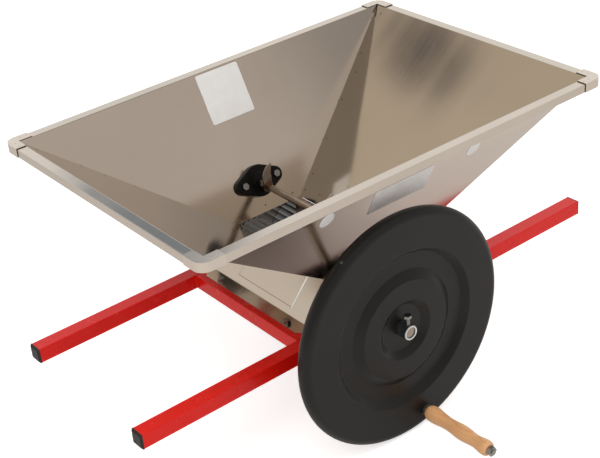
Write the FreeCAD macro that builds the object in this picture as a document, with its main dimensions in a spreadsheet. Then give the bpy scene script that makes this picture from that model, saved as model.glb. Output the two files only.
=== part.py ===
import FreeCAD, Part
import math
import os
import Sketcher

# Hand-cranked fruit crusher that lies across a tub.
# Two steel rails and two cross tubes carry a sheet-metal hopper. Under it two fluted
# rollers turn against each other, driven by a plastic handwheel with a wooden grip, and
# a bladed agitator shaft above them pushes the fruit down. Gears at the far side couple
# the rollers and the agitator, behind a sheet guard.
# X runs along the rails, the handwheel is on the minus Y side, and Z points up.
# The origin lies in the plane of the rails' undersides, at the middle of the frame.
# Lengths are in millimetres and angles in degrees.

SIZES = (
    # Frame
    ("rail_length", 1090.0, "length of each rail"),
    ("tube_size", 30.0, "outer width of the square tube"),
    ("tube_wall", 1.5, "wall of the square tube"),
    ("tube_corner", 1.5, "outer corner radius of the square tube"),
    ("rail_centres", 352.0, "distance between the middles of the two rails"),
    ("cross_centres", 346.0, "distance between the middles of the two cross tubes"),
    ("plug_head", 5.0, "thickness of an end plug outside the tube"),
    ("plug_bevel", 3.0, "bevel round the face of an end plug"),
    ("plug_insert", 16.0, "depth of an end plug inside the tube"),
    # Clearances
    ("fit_gap", 0.02, "radial clearance of pieces fixed on one another"),
    ("running_gap", 0.05, "radial clearance of a shaft in its bearing"),
    ("side_gap", 0.3, "clearance between pieces that lie side by side"),
    ("hole_gap", 0.3, "radial clearance of a bolt in its hole"),
    # Hopper
    ("rim_length", 921.0, "outer length of the hopper rim"),
    ("rim_width", 628.0, "outer width of the hopper rim"),
    ("rim_top", 379.3, "height of the rim's upper face"),
    ("rim_flange", 19.0, "width of the rim's flat flange"),
    ("rim_lip", 16.0, "height of the rim's turned-down lip"),
    ("hopper_sheet", 1.2, "thickness of the hopper sheet"),
    ("throat_length", 159.0, "length of the opening over the rollers"),
    ("throat_width", 302.0, "width of the opening over the rollers"),
    ("throat_height", 105.4, "height of the hopper's lower edge"),
    ("cap_arm", 48.0, "length of each arm of a rim corner cap"),
    ("cap_sheet", 2.0, "thickness of a rim corner cap"),
    # Folded plates round the rollers
    ("plate_sheet", 1.5, "thickness of the support and side plates"),
    ("bend_radius", 2.0, "inner radius of the bend in a support plate"),
    ("foot_margin", 13.0, "distance from the cross tube's outer face to the plate's edge"),
    ("fold_inset", 11.4, "distance of the fold inside the cross tube's inner face"),
    ("foot_chamfer", 8.0, "cut corner of the support plate's foot"),
    ("slit_centres", 168.0, "distance between the two slits of a support plate"),
    ("slit_width", 3.0, "width of a slit"),
    ("slit_start", 9.5, "distance of a slit from the fold, along X"),
    ("slit_end", 5.0, "distance of a slit from the throat's edge, along X"),
    # Rollers, shafts and bearings
    ("roller_centres", 102.0, "distance between the two roller axes"),
    ("roller_height", 57.0, "height of the roller axes"),
    ("roller_radius", 50.0, "outer radius of a roller over its flutes"),
    ("roller_play", 1.0, "clearance between a roller's end and a side plate"),
    ("flute_count", 24.0, "number of flutes on a roller"),
    ("flute_depth", 4.5, "depth of a flute"),
    ("flute_turn", 4.6, "angle of a flute's tip below the line of the roller axes"),
    ("shaft_radius", 10.0, "radius of the roller shafts"),
    ("shaft_clearance", 2.0, "radial clearance of a shaft in a side plate"),
    ("block_length", 84.0, "length of a bearing block's foot"),
    ("block_width", 26.0, "width of a bearing block"),
    ("block_foot", 10.0, "thickness of a bearing block's foot"),
    ("block_radius", 20.0, "outer radius of a bearing block round the shaft"),
    ("block_bolts", 64.0, "distance between the two bolts of a bearing block"),
    ("block_round", 4.0, "corner radius of a bearing block's foot"),
    # Agitator
    ("agitator_radius", 7.0, "radius of the agitator shaft"),
    ("flange_radius", 33.0, "middle radius of the agitator bearing's flange"),
    ("flange_ear", 16.0, "ear radius of the agitator bearing's flange"),
    ("flange_bolts", 79.0, "distance between the flange's two bolts"),
    ("flange_thickness", 11.0, "thickness of the flange"),
    ("flange_hub", 18.0, "radius of the round hub on the flange"),
    ("hub_height", 14.0, "height of the hub over the wall"),
    ("flange_round", 2.8, "edge radius of the flange"),
    ("collar_radius", 11.5, "radius of the agitator's collars"),
    ("collar_length", 14.0, "length of the agitator's collars"),
    ("blade_count", 4.0, "number of blades along the agitator"),
    ("blade_angle", 90.0, "angle of the first blade from the X axis"),
    ("blade_reach", 52.0, "distance of a blade's tip from the shaft axis"),
    ("blade_half", 7.5, "half the width of a blade"),
    ("blade_tip", 9.5, "offset of a blade's tip from its middle line"),
    ("blade_back", 35.0, "radius of a blade's curved back"),
    ("blade_hollow", 1.5, "depth of the hollow in a blade's front edge"),
    ("blade_belly", 31.0, "distance of that hollow from the shaft axis"),
    ("blade_thickness", 4.0, "thickness of a blade"),
    # Gears behind the hopper
    ("gear_module", 6.0, "module of the gears"),
    ("roller_teeth", 17.0, "teeth of each roller gear"),
    ("agitator_teeth", 22.0, "teeth of the agitator gear"),
    ("gear_width", 14.0, "face width of a gear"),
    ("gear_step", 2.0, "distance between the two planes of gears"),
    ("gear_place", 31.0, "distance from the rail's outer face to the gears"),
    ("gear_backlash", 0.5, "play between two meshing teeth"),
    ("shaft_end", 4.0, "length of a shaft beyond its gear"),
    # Gear guard
    ("guard_sheet", 1.5, "thickness of the gear guard's sheet"),
    ("guard_room", 6.0, "clearance between the guard and the gears"),
    ("guard_corner", 18.0, "corner radius of the gear guard"),
    ("guard_ear", 26.0, "length of a fixing ear on the guard"),
    ("guard_shoulder", 36.0, "height of the guard's shoulders over the roller axes"),
    ("guard_rise", 3.0, "clearance between the guard and the sloping wall"),
    # Handwheel and grip
    ("wheel_radius", 233.3, "outer radius of the handwheel"),
    ("wheel_reach", 119.5, "distance from the rail's outer face to the wheel's front"),
    ("wheel_thickness", 30.0, "thickness of the handwheel at its rim"),
    ("wheel_edge", 14.5, "edge radius of the handwheel's rim"),
    ("wheel_soft", 3.5, "edge radius of the handwheel's rings"),
    ("band_radius", 159.0, "inner radius of the wheel's outer band"),
    ("groove_outer", 147.0, "outer radius of the floor of the wheel's groove"),
    ("groove_inner", 116.0, "inner radius of the floor of the wheel's groove"),
    ("groove_depth", 12.0, "depth of the wheel's groove"),
    ("disc_radius", 99.0, "outer radius of the wheel's inner disc"),
    ("disc_depth", 1.5, "depth of the wheel's inner disc under the band"),
    ("recess_outer", 60.0, "outer radius of the wheel's centre recess"),
    ("recess_inner", 46.0, "radius of the floor of the centre recess"),
    ("recess_depth", 12.0, "depth of the centre recess"),
    ("boss_radius", 15.0, "outer radius of the steel boss"),
    ("boss_reach", 13.0, "length of the boss in front of the wheel"),
    ("boss_back", 10.0, "length of the boss behind the wheel"),
    ("boss_chamfer", 1.5, "chamfer at the boss's front end"),
    ("boss_recess", 2.5, "depth of the shaft's end inside the boss"),
    ("clamp_place", 8.0, "distance of the clamp screw from the boss's front end"),
    ("clamp_height", 29.5, "distance from the shaft's axis to the clamp screw's head"),
    ("handle_radius", 204.0, "distance of the grip from the wheel's axis"),
    ("handle_angle", -79.0, "angle of the grip from the X axis at rest"),
    ("handle_rod", 5.0, "radius of the grip's rod"),
    ("grip_length", 158.0, "length of the wooden grip"),
    ("grip_end", 11.0, "radius of the grip at its rounded inner end"),
    ("grip_tail", 10.5, "radius of the grip at its outer end"),
    ("grip_swell", 15.6, "radius of the grip's wide ends"),
    ("grip_waist", 12.4, "radius of the grip's waists"),
    ("grip_middle", 14.6, "radius of the grip's middle swell"),
    # Fasteners
    ("bolt_radius", 4.0, "radius of the bolts"),
    ("bolt_hex", 13.0, "width across flats of a bolt's head"),
    ("bolt_head", 5.5, "height of a bolt's head"),
    ("handle_hex", 17.0, "width across flats of the nuts and the head on the grip's rod"),
    ("lock_nut_height", 5.0, "height of the thin nut between the wheel and the grip"),
    ("end_nut_height", 8.5, "height of the nut at the grip's end"),
    ("rod_tip", 2.0, "length of the rod beyond that nut"),
    ("washer_height", 1.6, "thickness of a washer"),
    ("foot_bolts", 210.0, "distance between the two bolts of a support plate"),
    ("foot_bolt_inset", 7.5, "distance of these bolts inside the cross tube's middle"),
)

PRESSURE_ANGLE = math.radians(20.0)
FLANK_STEPS = 4
UPRIGHT = FreeCAD.Vector(0, 0, 1)
ACROSS = FreeCAD.Vector(0, 1, 0)
SIDEWAYS = FreeCAD.Vector(1, 0, 0)

doc = FreeCAD.newDocument("FruitCrusher")
sheet = doc.addObject("Spreadsheet::Sheet", "Sizes")
pieces = []


class Size:
    """A number together with the spreadsheet formula that gives it."""

    def __init__(self, value, text=None):
        self.value = float(value)
        self.text = text or repr(float(value))

    def __add__(self, other):
        other = as_size(other)
        return Size(self.value + other.value, "(%s + %s)" % (self.text, other.text))

    def __sub__(self, other):
        other = as_size(other)
        return Size(self.value - other.value, "(%s - %s)" % (self.text, other.text))

    def __mul__(self, other):
        other = as_size(other)
        return Size(self.value * other.value, "(%s * %s)" % (self.text, other.text))

    def __truediv__(self, other):
        other = as_size(other)
        return Size(self.value / other.value, "(%s / %s)" % (self.text, other.text))

    def __rsub__(self, other):
        return as_size(other) - self

    def __radd__(self, other):
        return as_size(other) + self

    def __rmul__(self, other):
        return as_size(other) * self

    def __rtruediv__(self, other):
        return as_size(other) / self

    def __neg__(self):
        return Size(-self.value, "(-1 * %s)" % self.text)


def as_size(number):
    return number if isinstance(number, Size) else Size(number)


def root(number):
    return Size(math.sqrt(number.value), "sqrt(%s)" % number.text)


def arc_cosine(number):
    return Size(math.degrees(math.acos(number.value)), "acos(%s)" % number.text)


def cosine(angle):
    return Size(math.cos(math.radians(angle.value)), "cos(%s)" % angle.text)


def sine(angle):
    return Size(math.sin(math.radians(angle.value)), "sin(%s)" % angle.text)


class Cells:
    """The driving dimensions, one attribute for each row of the spreadsheet."""

    def __init__(self, rows):
        for number, (name, value, note) in enumerate(rows, start=1):
            sheet.set("A%d" % number, name)
            sheet.set("B%d" % number, repr(value))
            sheet.set("C%d" % number, note)
            sheet.setAlias("B%d" % number, name)
            setattr(self, name, Size(value, "Sizes." + name))


s = Cells(SIZES)
doc.recompute()


# Places that several pieces share

rail_y = s.rail_centres / 2
rail_inner = rail_y - s.tube_size / 2
rail_outer = rail_y + s.tube_size / 2
cross_x = s.cross_centres / 2
cross_inner = cross_x - s.tube_size / 2
throat_x = s.throat_length / 2
throat_y = s.throat_width / 2
rim_x = s.rim_length / 2 - s.rim_flange
rim_y = s.rim_width / 2 - s.rim_flange
wall_rise = s.rim_top - s.throat_height
side_slope = (rim_y - throat_y) / wall_rise
side_stretch = root(side_slope * side_slope + 1)
plate_seat = s.tube_size + s.plate_sheet
fold_x = cross_inner - s.fold_inset
roller_x = s.roller_centres / 2
roller_length = s.throat_width - s.roller_play * 2
pitch_roller = s.gear_module * s.roller_teeth / 2
pitch_agitator = s.gear_module * s.agitator_teeth / 2
gear_centres = pitch_roller + pitch_agitator
agitator_z = s.roller_height + root(gear_centres * gear_centres - roller_x * roller_x)
agitator_wall = throat_y + side_slope * (agitator_z - s.throat_height)
# Cosine of the angle between the upright and the inward normal of a near or far wall.
wall_lean = side_slope / side_stretch
wall_turn = arc_cosine(wall_lean)
gear_front = rail_outer + s.gear_place
gear_second = gear_front + s.gear_width + s.gear_step
gear_back = gear_second + s.gear_width
wheel_front = rail_outer + s.wheel_reach
handle_x = s.handle_radius * cosine(s.handle_angle)
handle_z = s.handle_radius * sine(s.handle_angle)


# Helpers that make and bind features

def bind(item, name, size):
    item.setExpression(name, as_size(size).text)


def place(item, x=0, y=0, z=0, axis=UPRIGHT, angle=0):
    """Puts a piece at a bound position, turned about an axis."""
    x, y, z = as_size(x), as_size(y), as_size(z)
    turn = as_size(angle)
    item.Placement = FreeCAD.Placement(
        FreeCAD.Vector(x.value, y.value, z.value), FreeCAD.Rotation(axis, turn.value))
    bind(item, "Placement.Base.x", x)
    bind(item, "Placement.Base.y", y)
    bind(item, "Placement.Base.z", z)
    if isinstance(angle, Size):
        bind(item, "Placement.Rotation.Angle", angle)


def new_body(name):
    item = doc.addObject("PartDesign::Body", name)
    item.Label = name
    pieces.append(item)
    return item


def new_sketch(owner, plane, offset=None):
    role = plane + "_Plane"
    support = [feature for feature in owner.Origin.OriginFeatures if feature.Role == role][0]
    name = "%s_sketch%d" % (owner.Name, len(owner.Group))
    item = owner.newObject("Sketcher::SketchObject", name)
    item.AttachmentSupport = [(support, "")]
    item.MapMode = "FlatFace"
    if offset is not None:
        item.AttachmentOffset = FreeCAD.Placement(
            FreeCAD.Vector(0, 0, as_size(offset).value), FreeCAD.Rotation())
        bind(item, "AttachmentOffset.Base.z", offset)
    return item


def fix(item, kind, place_of, size):
    """Adds one dimension to a sketch and binds it to the spreadsheet."""
    size = as_size(size)
    number = item.addConstraint(Sketcher.Constraint(kind, *place_of, size.value))
    bind(item, "Constraints[%d]" % number, size)


def add_outline(item, corners, arcs=None):
    """A closed outline through bound corners. arcs maps a corner's number to the centre
    of a counter-clockwise arc from that corner to the next."""
    arcs = arcs or {}
    corners = [(as_size(u), as_size(v)) for u, v in corners]
    first = item.GeometryCount
    count = len(corners)
    for number, (u, v) in enumerate(corners):
        next_u, next_v = corners[(number + 1) % count]
        if number in arcs:
            cu, cv = as_size(arcs[number][0]).value, as_size(arcs[number][1]).value
            start = math.atan2(v.value - cv, u.value - cu)
            stop = math.atan2(next_v.value - cv, next_u.value - cu)
            if stop <= start:
                stop += 2 * math.pi
            radius = math.hypot(u.value - cu, v.value - cv)
            circle = Part.Circle(FreeCAD.Vector(cu, cv, 0), UPRIGHT, radius)
            edge = Part.ArcOfCircle(circle, start, stop)
        else:
            edge = Part.LineSegment(
                FreeCAD.Vector(u.value, v.value, 0), FreeCAD.Vector(next_u.value, next_v.value, 0))
        item.addGeometry(edge, False)
    for number in range(count):
        following = first + (number + 1) % count
        item.addConstraint(Sketcher.Constraint("Coincident", first + number, 2, following, 1))
    for number, (u, v) in enumerate(corners):
        fix(item, "DistanceX", (-1, 1, first + number, 1), u)
        fix(item, "DistanceY", (-1, 1, first + number, 1), v)
    for number, centre in arcs.items():
        # One coordinate of the centre fixes the arc: the one across the arc's chord.
        u, v = corners[number]
        next_u, next_v = corners[(number + 1) % count]
        flat = abs(next_u.value - u.value) > abs(next_v.value - v.value)
        kind = "DistanceY" if flat else "DistanceX"
        fix(item, kind, (-1, 1, first + number, 3), centre[1] if flat else centre[0])


def add_circle(item, u, v, radius):
    u, v, radius = as_size(u), as_size(v), as_size(radius)
    number = item.GeometryCount
    centre = FreeCAD.Vector(u.value, v.value, 0)
    item.addGeometry(Part.Circle(centre, UPRIGHT, radius.value), False)
    fix(item, "DistanceX", (-1, 1, number, 3), u)
    fix(item, "DistanceY", (-1, 1, number, 3), v)
    fix(item, "Radius", (number,), radius)


def add_rectangle(item, low_u, low_v, high_u, high_v):
    add_outline(item, [(low_u, low_v), (high_u, low_v), (high_u, high_v), (low_u, high_v)])


def extrude(owner, kind, profile, length, sides="One side", reverse=False):
    feature = owner.newObject("PartDesign::" + kind, profile.Name + "_" + kind)
    feature.Profile = profile
    feature.SideType = sides
    feature.Reversed = reverse
    bind(feature, "Length", length)
    return feature


def pad(owner, profile, length, sides="One side", reverse=False):
    return extrude(owner, "Pad", profile, length, sides, reverse)


def pocket(owner, profile, length, sides="One side", reverse=False):
    return extrude(owner, "Pocket", profile, length, sides, reverse)


def soften(owner, kind, size, wanted):
    """A fillet or chamfer on the edges of the body's tip that pass the given test."""
    doc.recompute()
    base = owner.Tip
    names = []
    for number, edge in enumerate(base.Shape.Edges, start=1):
        if wanted(edge):
            names.append("Edge%d" % number)
    feature = owner.newObject("PartDesign::" + kind, "%s_%s%d" % (owner.Name, kind, len(owner.Group)))
    feature.Base = (base, names)
    bind(feature, "Radius" if kind == "Fillet" else "Size", size)
    return feature


def hollow(owner, wall, wanted):
    """Turns the body into a shell that is open at the faces that pass the test."""
    doc.recompute()
    base = owner.Tip
    names = []
    for number, face in enumerate(base.Shape.Faces, start=1):
        if wanted(face):
            names.append("Face%d" % number)
    feature = owner.newObject("PartDesign::Thickness", owner.Name + "_shell")
    feature.Base = (base, names)
    feature.Reversed = True
    bind(feature, "Value", wall)


def runs_along(edge, axis):
    """True for a straight edge parallel to the axis."""
    if not isinstance(edge.Curve, Part.Line):
        return False
    return abs(abs(edge.Curve.Direction.dot(axis)) - 1) < 1e-6


def near(first, second):
    return abs(first - as_size(second).value) < 1e-4


def add_shape(name, shape):
    item = doc.addObject("Part::Feature", name)
    item.Label = name
    item.Shape = shape
    pieces.append(item)
    return item


def cylinder(name, radius, length):
    item = doc.addObject("Part::Cylinder", name)
    bind(item, "Radius", radius)
    bind(item, "Height", length)
    return item


# Frame: square tubes and their end plugs

def square_ring(item):
    half = s.tube_size / 2
    bore = half - s.tube_wall
    add_rectangle(item, -half, -half, half, half)
    add_rectangle(item, -bore, -bore, bore, bore)


def square_tube(name, plane, length, along, holes):
    """A square tube with bolt holes in its upper wall at the given (x, y) places."""
    body = new_body(name)
    section = new_sketch(body, plane)
    square_ring(section)
    pad(body, section, length, "Symmetric")
    half = s.tube_size / 2
    soften(body, "Fillet", s.tube_corner, lambda edge: runs_along(edge, along)
           and near(abs(edge.CenterOfMass.z), half))
    drill = new_sketch(body, "XY", half)
    for x, y in holes:
        add_circle(drill, x, y, s.bolt_radius + s.hole_gap)
    pocket(body, drill, s.tube_wall * 2)
    return body


def make_frame():
    block_half = s.block_bolts / 2
    rail_holes = []
    for middle in (-roller_x, roller_x):
        rail_holes.append((middle - block_half, 0))
        rail_holes.append((middle + block_half, 0))
    for name, side in (("rail_near", -1), ("rail_far", 1)):
        rail = square_tube(name, "YZ", s.rail_length, SIDEWAYS, rail_holes)
        place(rail, 0, rail_y * side, s.tube_size / 2)
        if side > 0:
            drill = new_sketch(rail, "XZ", -s.tube_size / 2)
            for x in (-guard_bolt_x, guard_bolt_x):
                add_circle(drill, x, 0, s.bolt_radius + s.hole_gap)
            pocket(rail, drill, s.tube_wall * 2, reverse=True)
    for name, side in (("cross_tube_left", -1), ("cross_tube_right", 1)):
        half = s.foot_bolts / 2
        inset = s.foot_bolt_inset * -side
        tube = square_tube(name, "XZ", s.rail_centres - s.tube_size, ACROSS,
                           [(inset, -half), (inset, half)])
        place(tube, cross_x * side, 0, s.tube_size / 2)


def end_plug(name, side_x, side_y):
    """A plastic plug with a bevelled face, pushed into the end of a rail."""
    body = new_body(name)
    half = s.tube_size / 2
    head = new_sketch(body, "YZ")
    add_rectangle(head, -half, -half, half, half)
    pad(body, head, s.plug_head)
    soften(body, "Chamfer", s.plug_bevel, lambda edge: near(edge.CenterOfMass.x, s.plug_head))
    stem = new_sketch(body, "YZ")
    grip = half - s.tube_wall - s.fit_gap
    add_rectangle(stem, -grip, -grip, grip, grip)
    pad(body, stem, s.plug_insert, reverse=True)
    place(body, s.rail_length / 2 * side_x, rail_y * side_y, half,
          angle=0 if side_x > 0 else 180)


# Plates round the rollers

def support_outline():
    """Section of the left support plate: a foot on the cross tube, then a slope up to
    the hopper's lower edge. The points run round the folded sheet."""
    sheet_size = s.plate_sheet
    foot_x = cross_x + s.tube_size / 2 - s.foot_margin
    top_x = throat_x + s.hopper_sheet / 2
    top_z = s.throat_height - s.hopper_sheet - s.side_gap
    run = fold_x - top_x
    rise = top_z - plate_seat
    length = root(run * run + rise * rise)
    half_tangent = (length - run) / rise
    upper_fold = (-fold_x, plate_seat)
    lower_fold = (-fold_x + sheet_size * half_tangent, s.tube_size)
    upper_top = (-top_x, top_z)
    lower_top = (-top_x + sheet_size * rise / length, top_z - sheet_size * run / length)
    return [(-foot_x, s.tube_size), lower_fold, lower_top, upper_top, upper_fold,
            (-foot_x, plate_seat)]


def support_plate(name, side):
    body = new_body(name)
    corners = support_outline()
    section = new_sketch(body, "XZ")
    add_outline(section, corners)
    pad(body, section, s.throat_width - 2 * s.side_gap, "Symmetric")
    lower_fold, upper_fold = corners[1], corners[4]
    soften(body, "Fillet", s.bend_radius, lambda edge: runs_along(edge, ACROSS)
           and near(edge.CenterOfMass.x, upper_fold[0]) and near(edge.CenterOfMass.z, plate_seat))
    soften(body, "Fillet", s.bend_radius + s.plate_sheet, lambda edge: runs_along(edge, ACROSS)
           and near(edge.CenterOfMass.x, lower_fold[0]) and near(edge.CenterOfMass.z, s.tube_size))
    foot_x = corners[0][0]
    soften(body, "Chamfer", s.foot_chamfer, lambda edge: runs_along(edge, UPRIGHT)
           and near(edge.CenterOfMass.x, foot_x))
    drill = new_sketch(body, "XY", plate_seat)
    for y in (-s.foot_bolts / 2, s.foot_bolts / 2):
        add_circle(drill, -cross_x + s.foot_bolt_inset, y, s.bolt_radius + s.hole_gap)
    pocket(body, drill, s.plate_sheet * 2)
    slits = new_sketch(body, "XY", s.throat_height)
    for side_y in (-1, 1):
        middle = s.slit_centres / 2 * side_y
        add_rectangle(slits, -fold_x + s.slit_start, middle - s.slit_width / 2,
                      -throat_x - s.slit_end, middle + s.slit_width / 2)
    pocket(body, slits, s.throat_height)
    place(body, angle=0 if side < 0 else 180)


def side_plate(name, side):
    """The upright plate beside the roller ends, with a flange on the rail."""
    body = new_body(name)
    upper_top, upper_fold = support_outline()[3:5]
    web = new_sketch(body, "XZ", -throat_y)
    corners = [(upper_fold[0], s.tube_size), (-upper_fold[0], s.tube_size),
               (-upper_fold[0], plate_seat), (-upper_top[0], upper_top[1]),
               (throat_x, s.throat_height), (-throat_x, s.throat_height),
               upper_top, upper_fold]
    add_outline(web, corners)
    pad(body, web, s.plate_sheet, reverse=True)
    flange = new_sketch(body, "XY", s.tube_size)
    add_rectangle(flange, -fold_x, throat_y, fold_x, rail_outer - s.tube_corner)
    pad(body, flange, s.plate_sheet)
    bores = new_sketch(body, "XZ", -throat_y)
    for x in (-roller_x, roller_x):
        add_circle(bores, x, s.roller_height, s.shaft_radius + s.shaft_clearance)
    pocket(body, bores, s.plate_sheet * 3, "Symmetric")
    drill = new_sketch(body, "XY", plate_seat)
    for middle in (-roller_x, roller_x):
        for step in (-1, 1):
            x = middle + s.block_bolts / 2 * step
            add_circle(drill, x, rail_y, s.bolt_radius + s.hole_gap)
    pocket(body, drill, s.plate_sheet * 2)
    place(body, angle=0 if side > 0 else 180)


# Hopper: four folded walls and four corner caps

def hopper_wall(name, turn, low, high, span, trim_low, trim_high, holes=()):
    """One sloping wall with its rim. low and high are the distances of its inner face
    from the middle at the throat and at the rim, and the trims cut it along the hips."""
    body = new_body(name)
    sheet_size = s.hopper_sheet
    slope = (high - low) / wall_rise
    shift = sheet_size * root(slope * slope + 1)
    edge = high + s.rim_flange
    lip_z = s.rim_top - s.rim_lip
    under_z = s.rim_top - sheet_size
    under = low + slope * (under_z - s.throat_height) + shift
    section = new_sketch(body, "YZ")
    add_outline(section, [
        (low, s.throat_height), (low + shift, s.throat_height), (under, under_z),
        (edge - sheet_size, under_z), (edge - sheet_size, lip_z), (edge, lip_z),
        (edge, s.rim_top), (high, s.rim_top)])
    pad(body, section, span, "Symmetric")
    hips = new_sketch(body, "XZ")
    for side in (-1, 1):
        add_outline(hips, [
            (trim_low * side, s.throat_height), (span * side, s.throat_height),
            (span * side, s.rim_top), (trim_high * side, s.rim_top)])
    pocket(body, hips, edge * 3, "Symmetric")
    if holes:
        drill = new_sketch(body, "XZ")
        for x, z, radius in holes:
            add_circle(drill, x, z, radius)
        pocket(body, drill, edge * 3, "Symmetric")
    place(body, angle=turn)


def make_hopper():
    shift = s.hopper_sheet * side_stretch
    half = s.flange_bolts / 2
    bolt_hole = s.bolt_radius * side_stretch + s.hole_gap
    bolt_holes = [(-half, agitator_z, bolt_hole), (half, agitator_z, bolt_hole)]
    shaft_hole = (0, agitator_z, s.agitator_radius + s.shaft_clearance)
    hopper_wall("hopper_wall_far", 0, throat_y, rim_y, s.rim_length, throat_x, rim_x,
                bolt_holes + [shaft_hole])
    hopper_wall("hopper_wall_near", 180, throat_y, rim_y, s.rim_length, throat_x, rim_x,
                bolt_holes)
    for name, turn in (("hopper_wall_left", 90), ("hopper_wall_right", -90)):
        hopper_wall(name, turn, throat_x, rim_x, s.rim_width, throat_y + shift, rim_y + shift)


def cap_outline(item, inset):
    """The corner's angle shape, moved in by inset along its two outer sides."""
    width = s.rim_flange + s.cap_sheet
    add_outline(item, [
        (inset, s.cap_arm), (inset, width), (width, inset), (s.cap_arm, inset),
        (s.cap_arm, width), (width, width), (width, s.cap_arm)],
        {1: (width, width)})


def corner_cap(name, side_x, side_y, turn):
    """A rounded cap over a corner of the rim."""
    body = new_body(name)
    outer = new_sketch(body, "XY")
    cap_outline(outer, Size(0))
    pad(body, outer, s.rim_lip + s.cap_sheet)
    inner = new_sketch(body, "XY")
    cap_outline(inner, s.cap_sheet)
    pocket(body, inner, s.rim_lip, reverse=True)
    place(body, (s.rim_length / 2 + s.cap_sheet) * side_x,
          (s.rim_width / 2 + s.cap_sheet) * side_y, s.rim_top - s.rim_lip, angle=turn)


# Rollers, shafts and their bearing blocks

def roller(name, side):
    """A straight-fluted roller with saw-tooth flutes that grip towards the nip."""
    body = new_body(name)
    core_radius = s.roller_radius - s.flute_depth
    core = new_sketch(body, "XZ")
    add_circle(core, 0, 0, core_radius)
    pad(body, core, roller_length, "Symmetric")
    step = 360 / s.flute_count
    under = core_radius - s.flute_depth / 4
    turn_x, turn_z = cosine(step), sine(step)
    # The left roller's steep flanks face clockwise and the right roller's the other way.
    flute = new_sketch(body, "XZ")
    add_outline(flute, [
        (under * -side, 0), (s.roller_radius * -side, 0),
        (core_radius * turn_x * -side, core_radius * turn_z),
        (under * turn_x * -side, under * turn_z)])
    ridge = pad(body, flute, roller_length, "Symmetric")
    pattern = body.newObject("PartDesign::PolarPattern", name + "_flutes")
    pattern.Originals = [ridge]
    pattern.Axis = (flute, ["N_Axis"])
    pattern.Angle = 360
    bind(pattern, "Occurrences", s.flute_count)
    body.Tip = pattern
    bore = new_sketch(body, "XZ")
    add_circle(bore, 0, 0, s.shaft_radius + s.fit_gap)
    pocket(body, bore, roller_length * 2, "Symmetric")
    place(body, roller_x * side, 0, s.roller_height, ACROSS, s.flute_turn)


def shaft(name, x, z, radius, start, stop):
    item = cylinder(name, radius, stop - start)
    item.Label = name
    place(item, x, start, z, SIDEWAYS, -90)
    pieces.append(item)


def bearing_block(name, side_x, side_y):
    """A bearing block that sits on the side plate's flange, over the rail."""
    body = new_body(name)
    half = s.block_length / 2
    radius = s.block_radius
    rise = s.roller_height - plate_seat
    section = new_sketch(body, "XZ")
    add_outline(section, [
        (-half, 0), (half, 0), (half, s.block_foot), (radius, s.block_foot), (radius, rise),
        (-radius, rise), (-radius, s.block_foot), (-half, s.block_foot)],
        {4: (0, rise)})
    pad(body, section, s.block_width, "Symmetric")
    soften(body, "Fillet", s.block_round, lambda edge: runs_along(edge, UPRIGHT)
           and near(abs(edge.CenterOfMass.x), half))
    bore = new_sketch(body, "XZ")
    add_circle(bore, 0, rise, s.shaft_radius + s.running_gap)
    pocket(body, bore, s.block_width * 2, "Symmetric")
    drill = new_sketch(body, "XY", s.block_foot)
    for x in (-s.block_bolts / 2, s.block_bolts / 2):
        add_circle(drill, x, 0, s.bolt_radius + s.hole_gap)
    pocket(body, drill, s.block_foot * 2)
    place(body, roller_x * side_x, rail_y * side_y, plate_seat)


def make_rollers():
    boss_end = wheel_front + s.boss_reach
    shaft("drive_shaft", -roller_x, s.roller_height, s.shaft_radius,
          -boss_end + s.boss_recess, gear_back + s.shaft_end)
    shaft("driven_shaft", roller_x, s.roller_height, s.shaft_radius,
          -rail_outer, gear_front + s.gear_width + s.gear_step / 2)
    roller("drive_roller", -1)
    roller("driven_roller", 1)
    for end, side_y in (("near", -1), ("far", 1)):
        bearing_block("bearing_block_drive_" + end, -1, side_y)
        bearing_block("bearing_block_driven_" + end, 1, side_y)


# Agitator: shaft, blades, collars and flange bearings

def flange_bearing(name, side):
    """A two-bolt flange on the sloping wall. Its bore follows the level shaft."""
    outer, ear, reach = s.flange_radius, s.flange_ear, s.flange_bolts / 2
    lean = (outer - ear) / reach
    rise = root(1 - lean * lean)
    body = doc.addObject("PartDesign::Body", name + "_housing")
    outline = new_sketch(body, "XY")
    add_outline(outline, [
        (reach + ear * lean, -ear * rise), (reach + ear * lean, ear * rise),
        (outer * lean, outer * rise), (-outer * lean, outer * rise),
        (-reach - ear * lean, ear * rise), (-reach - ear * lean, -ear * rise),
        (-outer * lean, -outer * rise), (outer * lean, -outer * rise)],
        {0: (reach, 0), 2: (0, 0), 4: (-reach, 0), 6: (0, 0)})
    pad(body, outline, s.flange_thickness)
    soften(body, "Fillet", s.flange_round,
           lambda edge: near(edge.BoundBox.ZMin, s.flange_thickness))
    hub = new_sketch(body, "XY")
    add_circle(hub, 0, 0, s.flange_hub)
    pad(body, hub, s.hub_height)
    soften(body, "Fillet", s.flange_round, lambda edge: near(edge.BoundBox.ZMin, s.hub_height))
    drill = new_sketch(body, "XY", s.flange_thickness)
    for x in (-reach, reach):
        add_circle(drill, x, 0, s.bolt_radius + s.hole_gap)
    pocket(body, drill, s.flange_thickness * 2)
    place(body, 0, agitator_wall * side, agitator_z, SIDEWAYS, wall_turn * side)
    bore = cylinder(name + "_bore", s.agitator_radius + s.running_gap, s.rim_width)
    place(bore, 0, -s.rim_width / 2, agitator_z, SIDEWAYS, -90)
    item = doc.addObject("Part::Cut", name)
    item.Label = name
    item.Base = body
    item.Tool = bore
    pieces.append(item)


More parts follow.
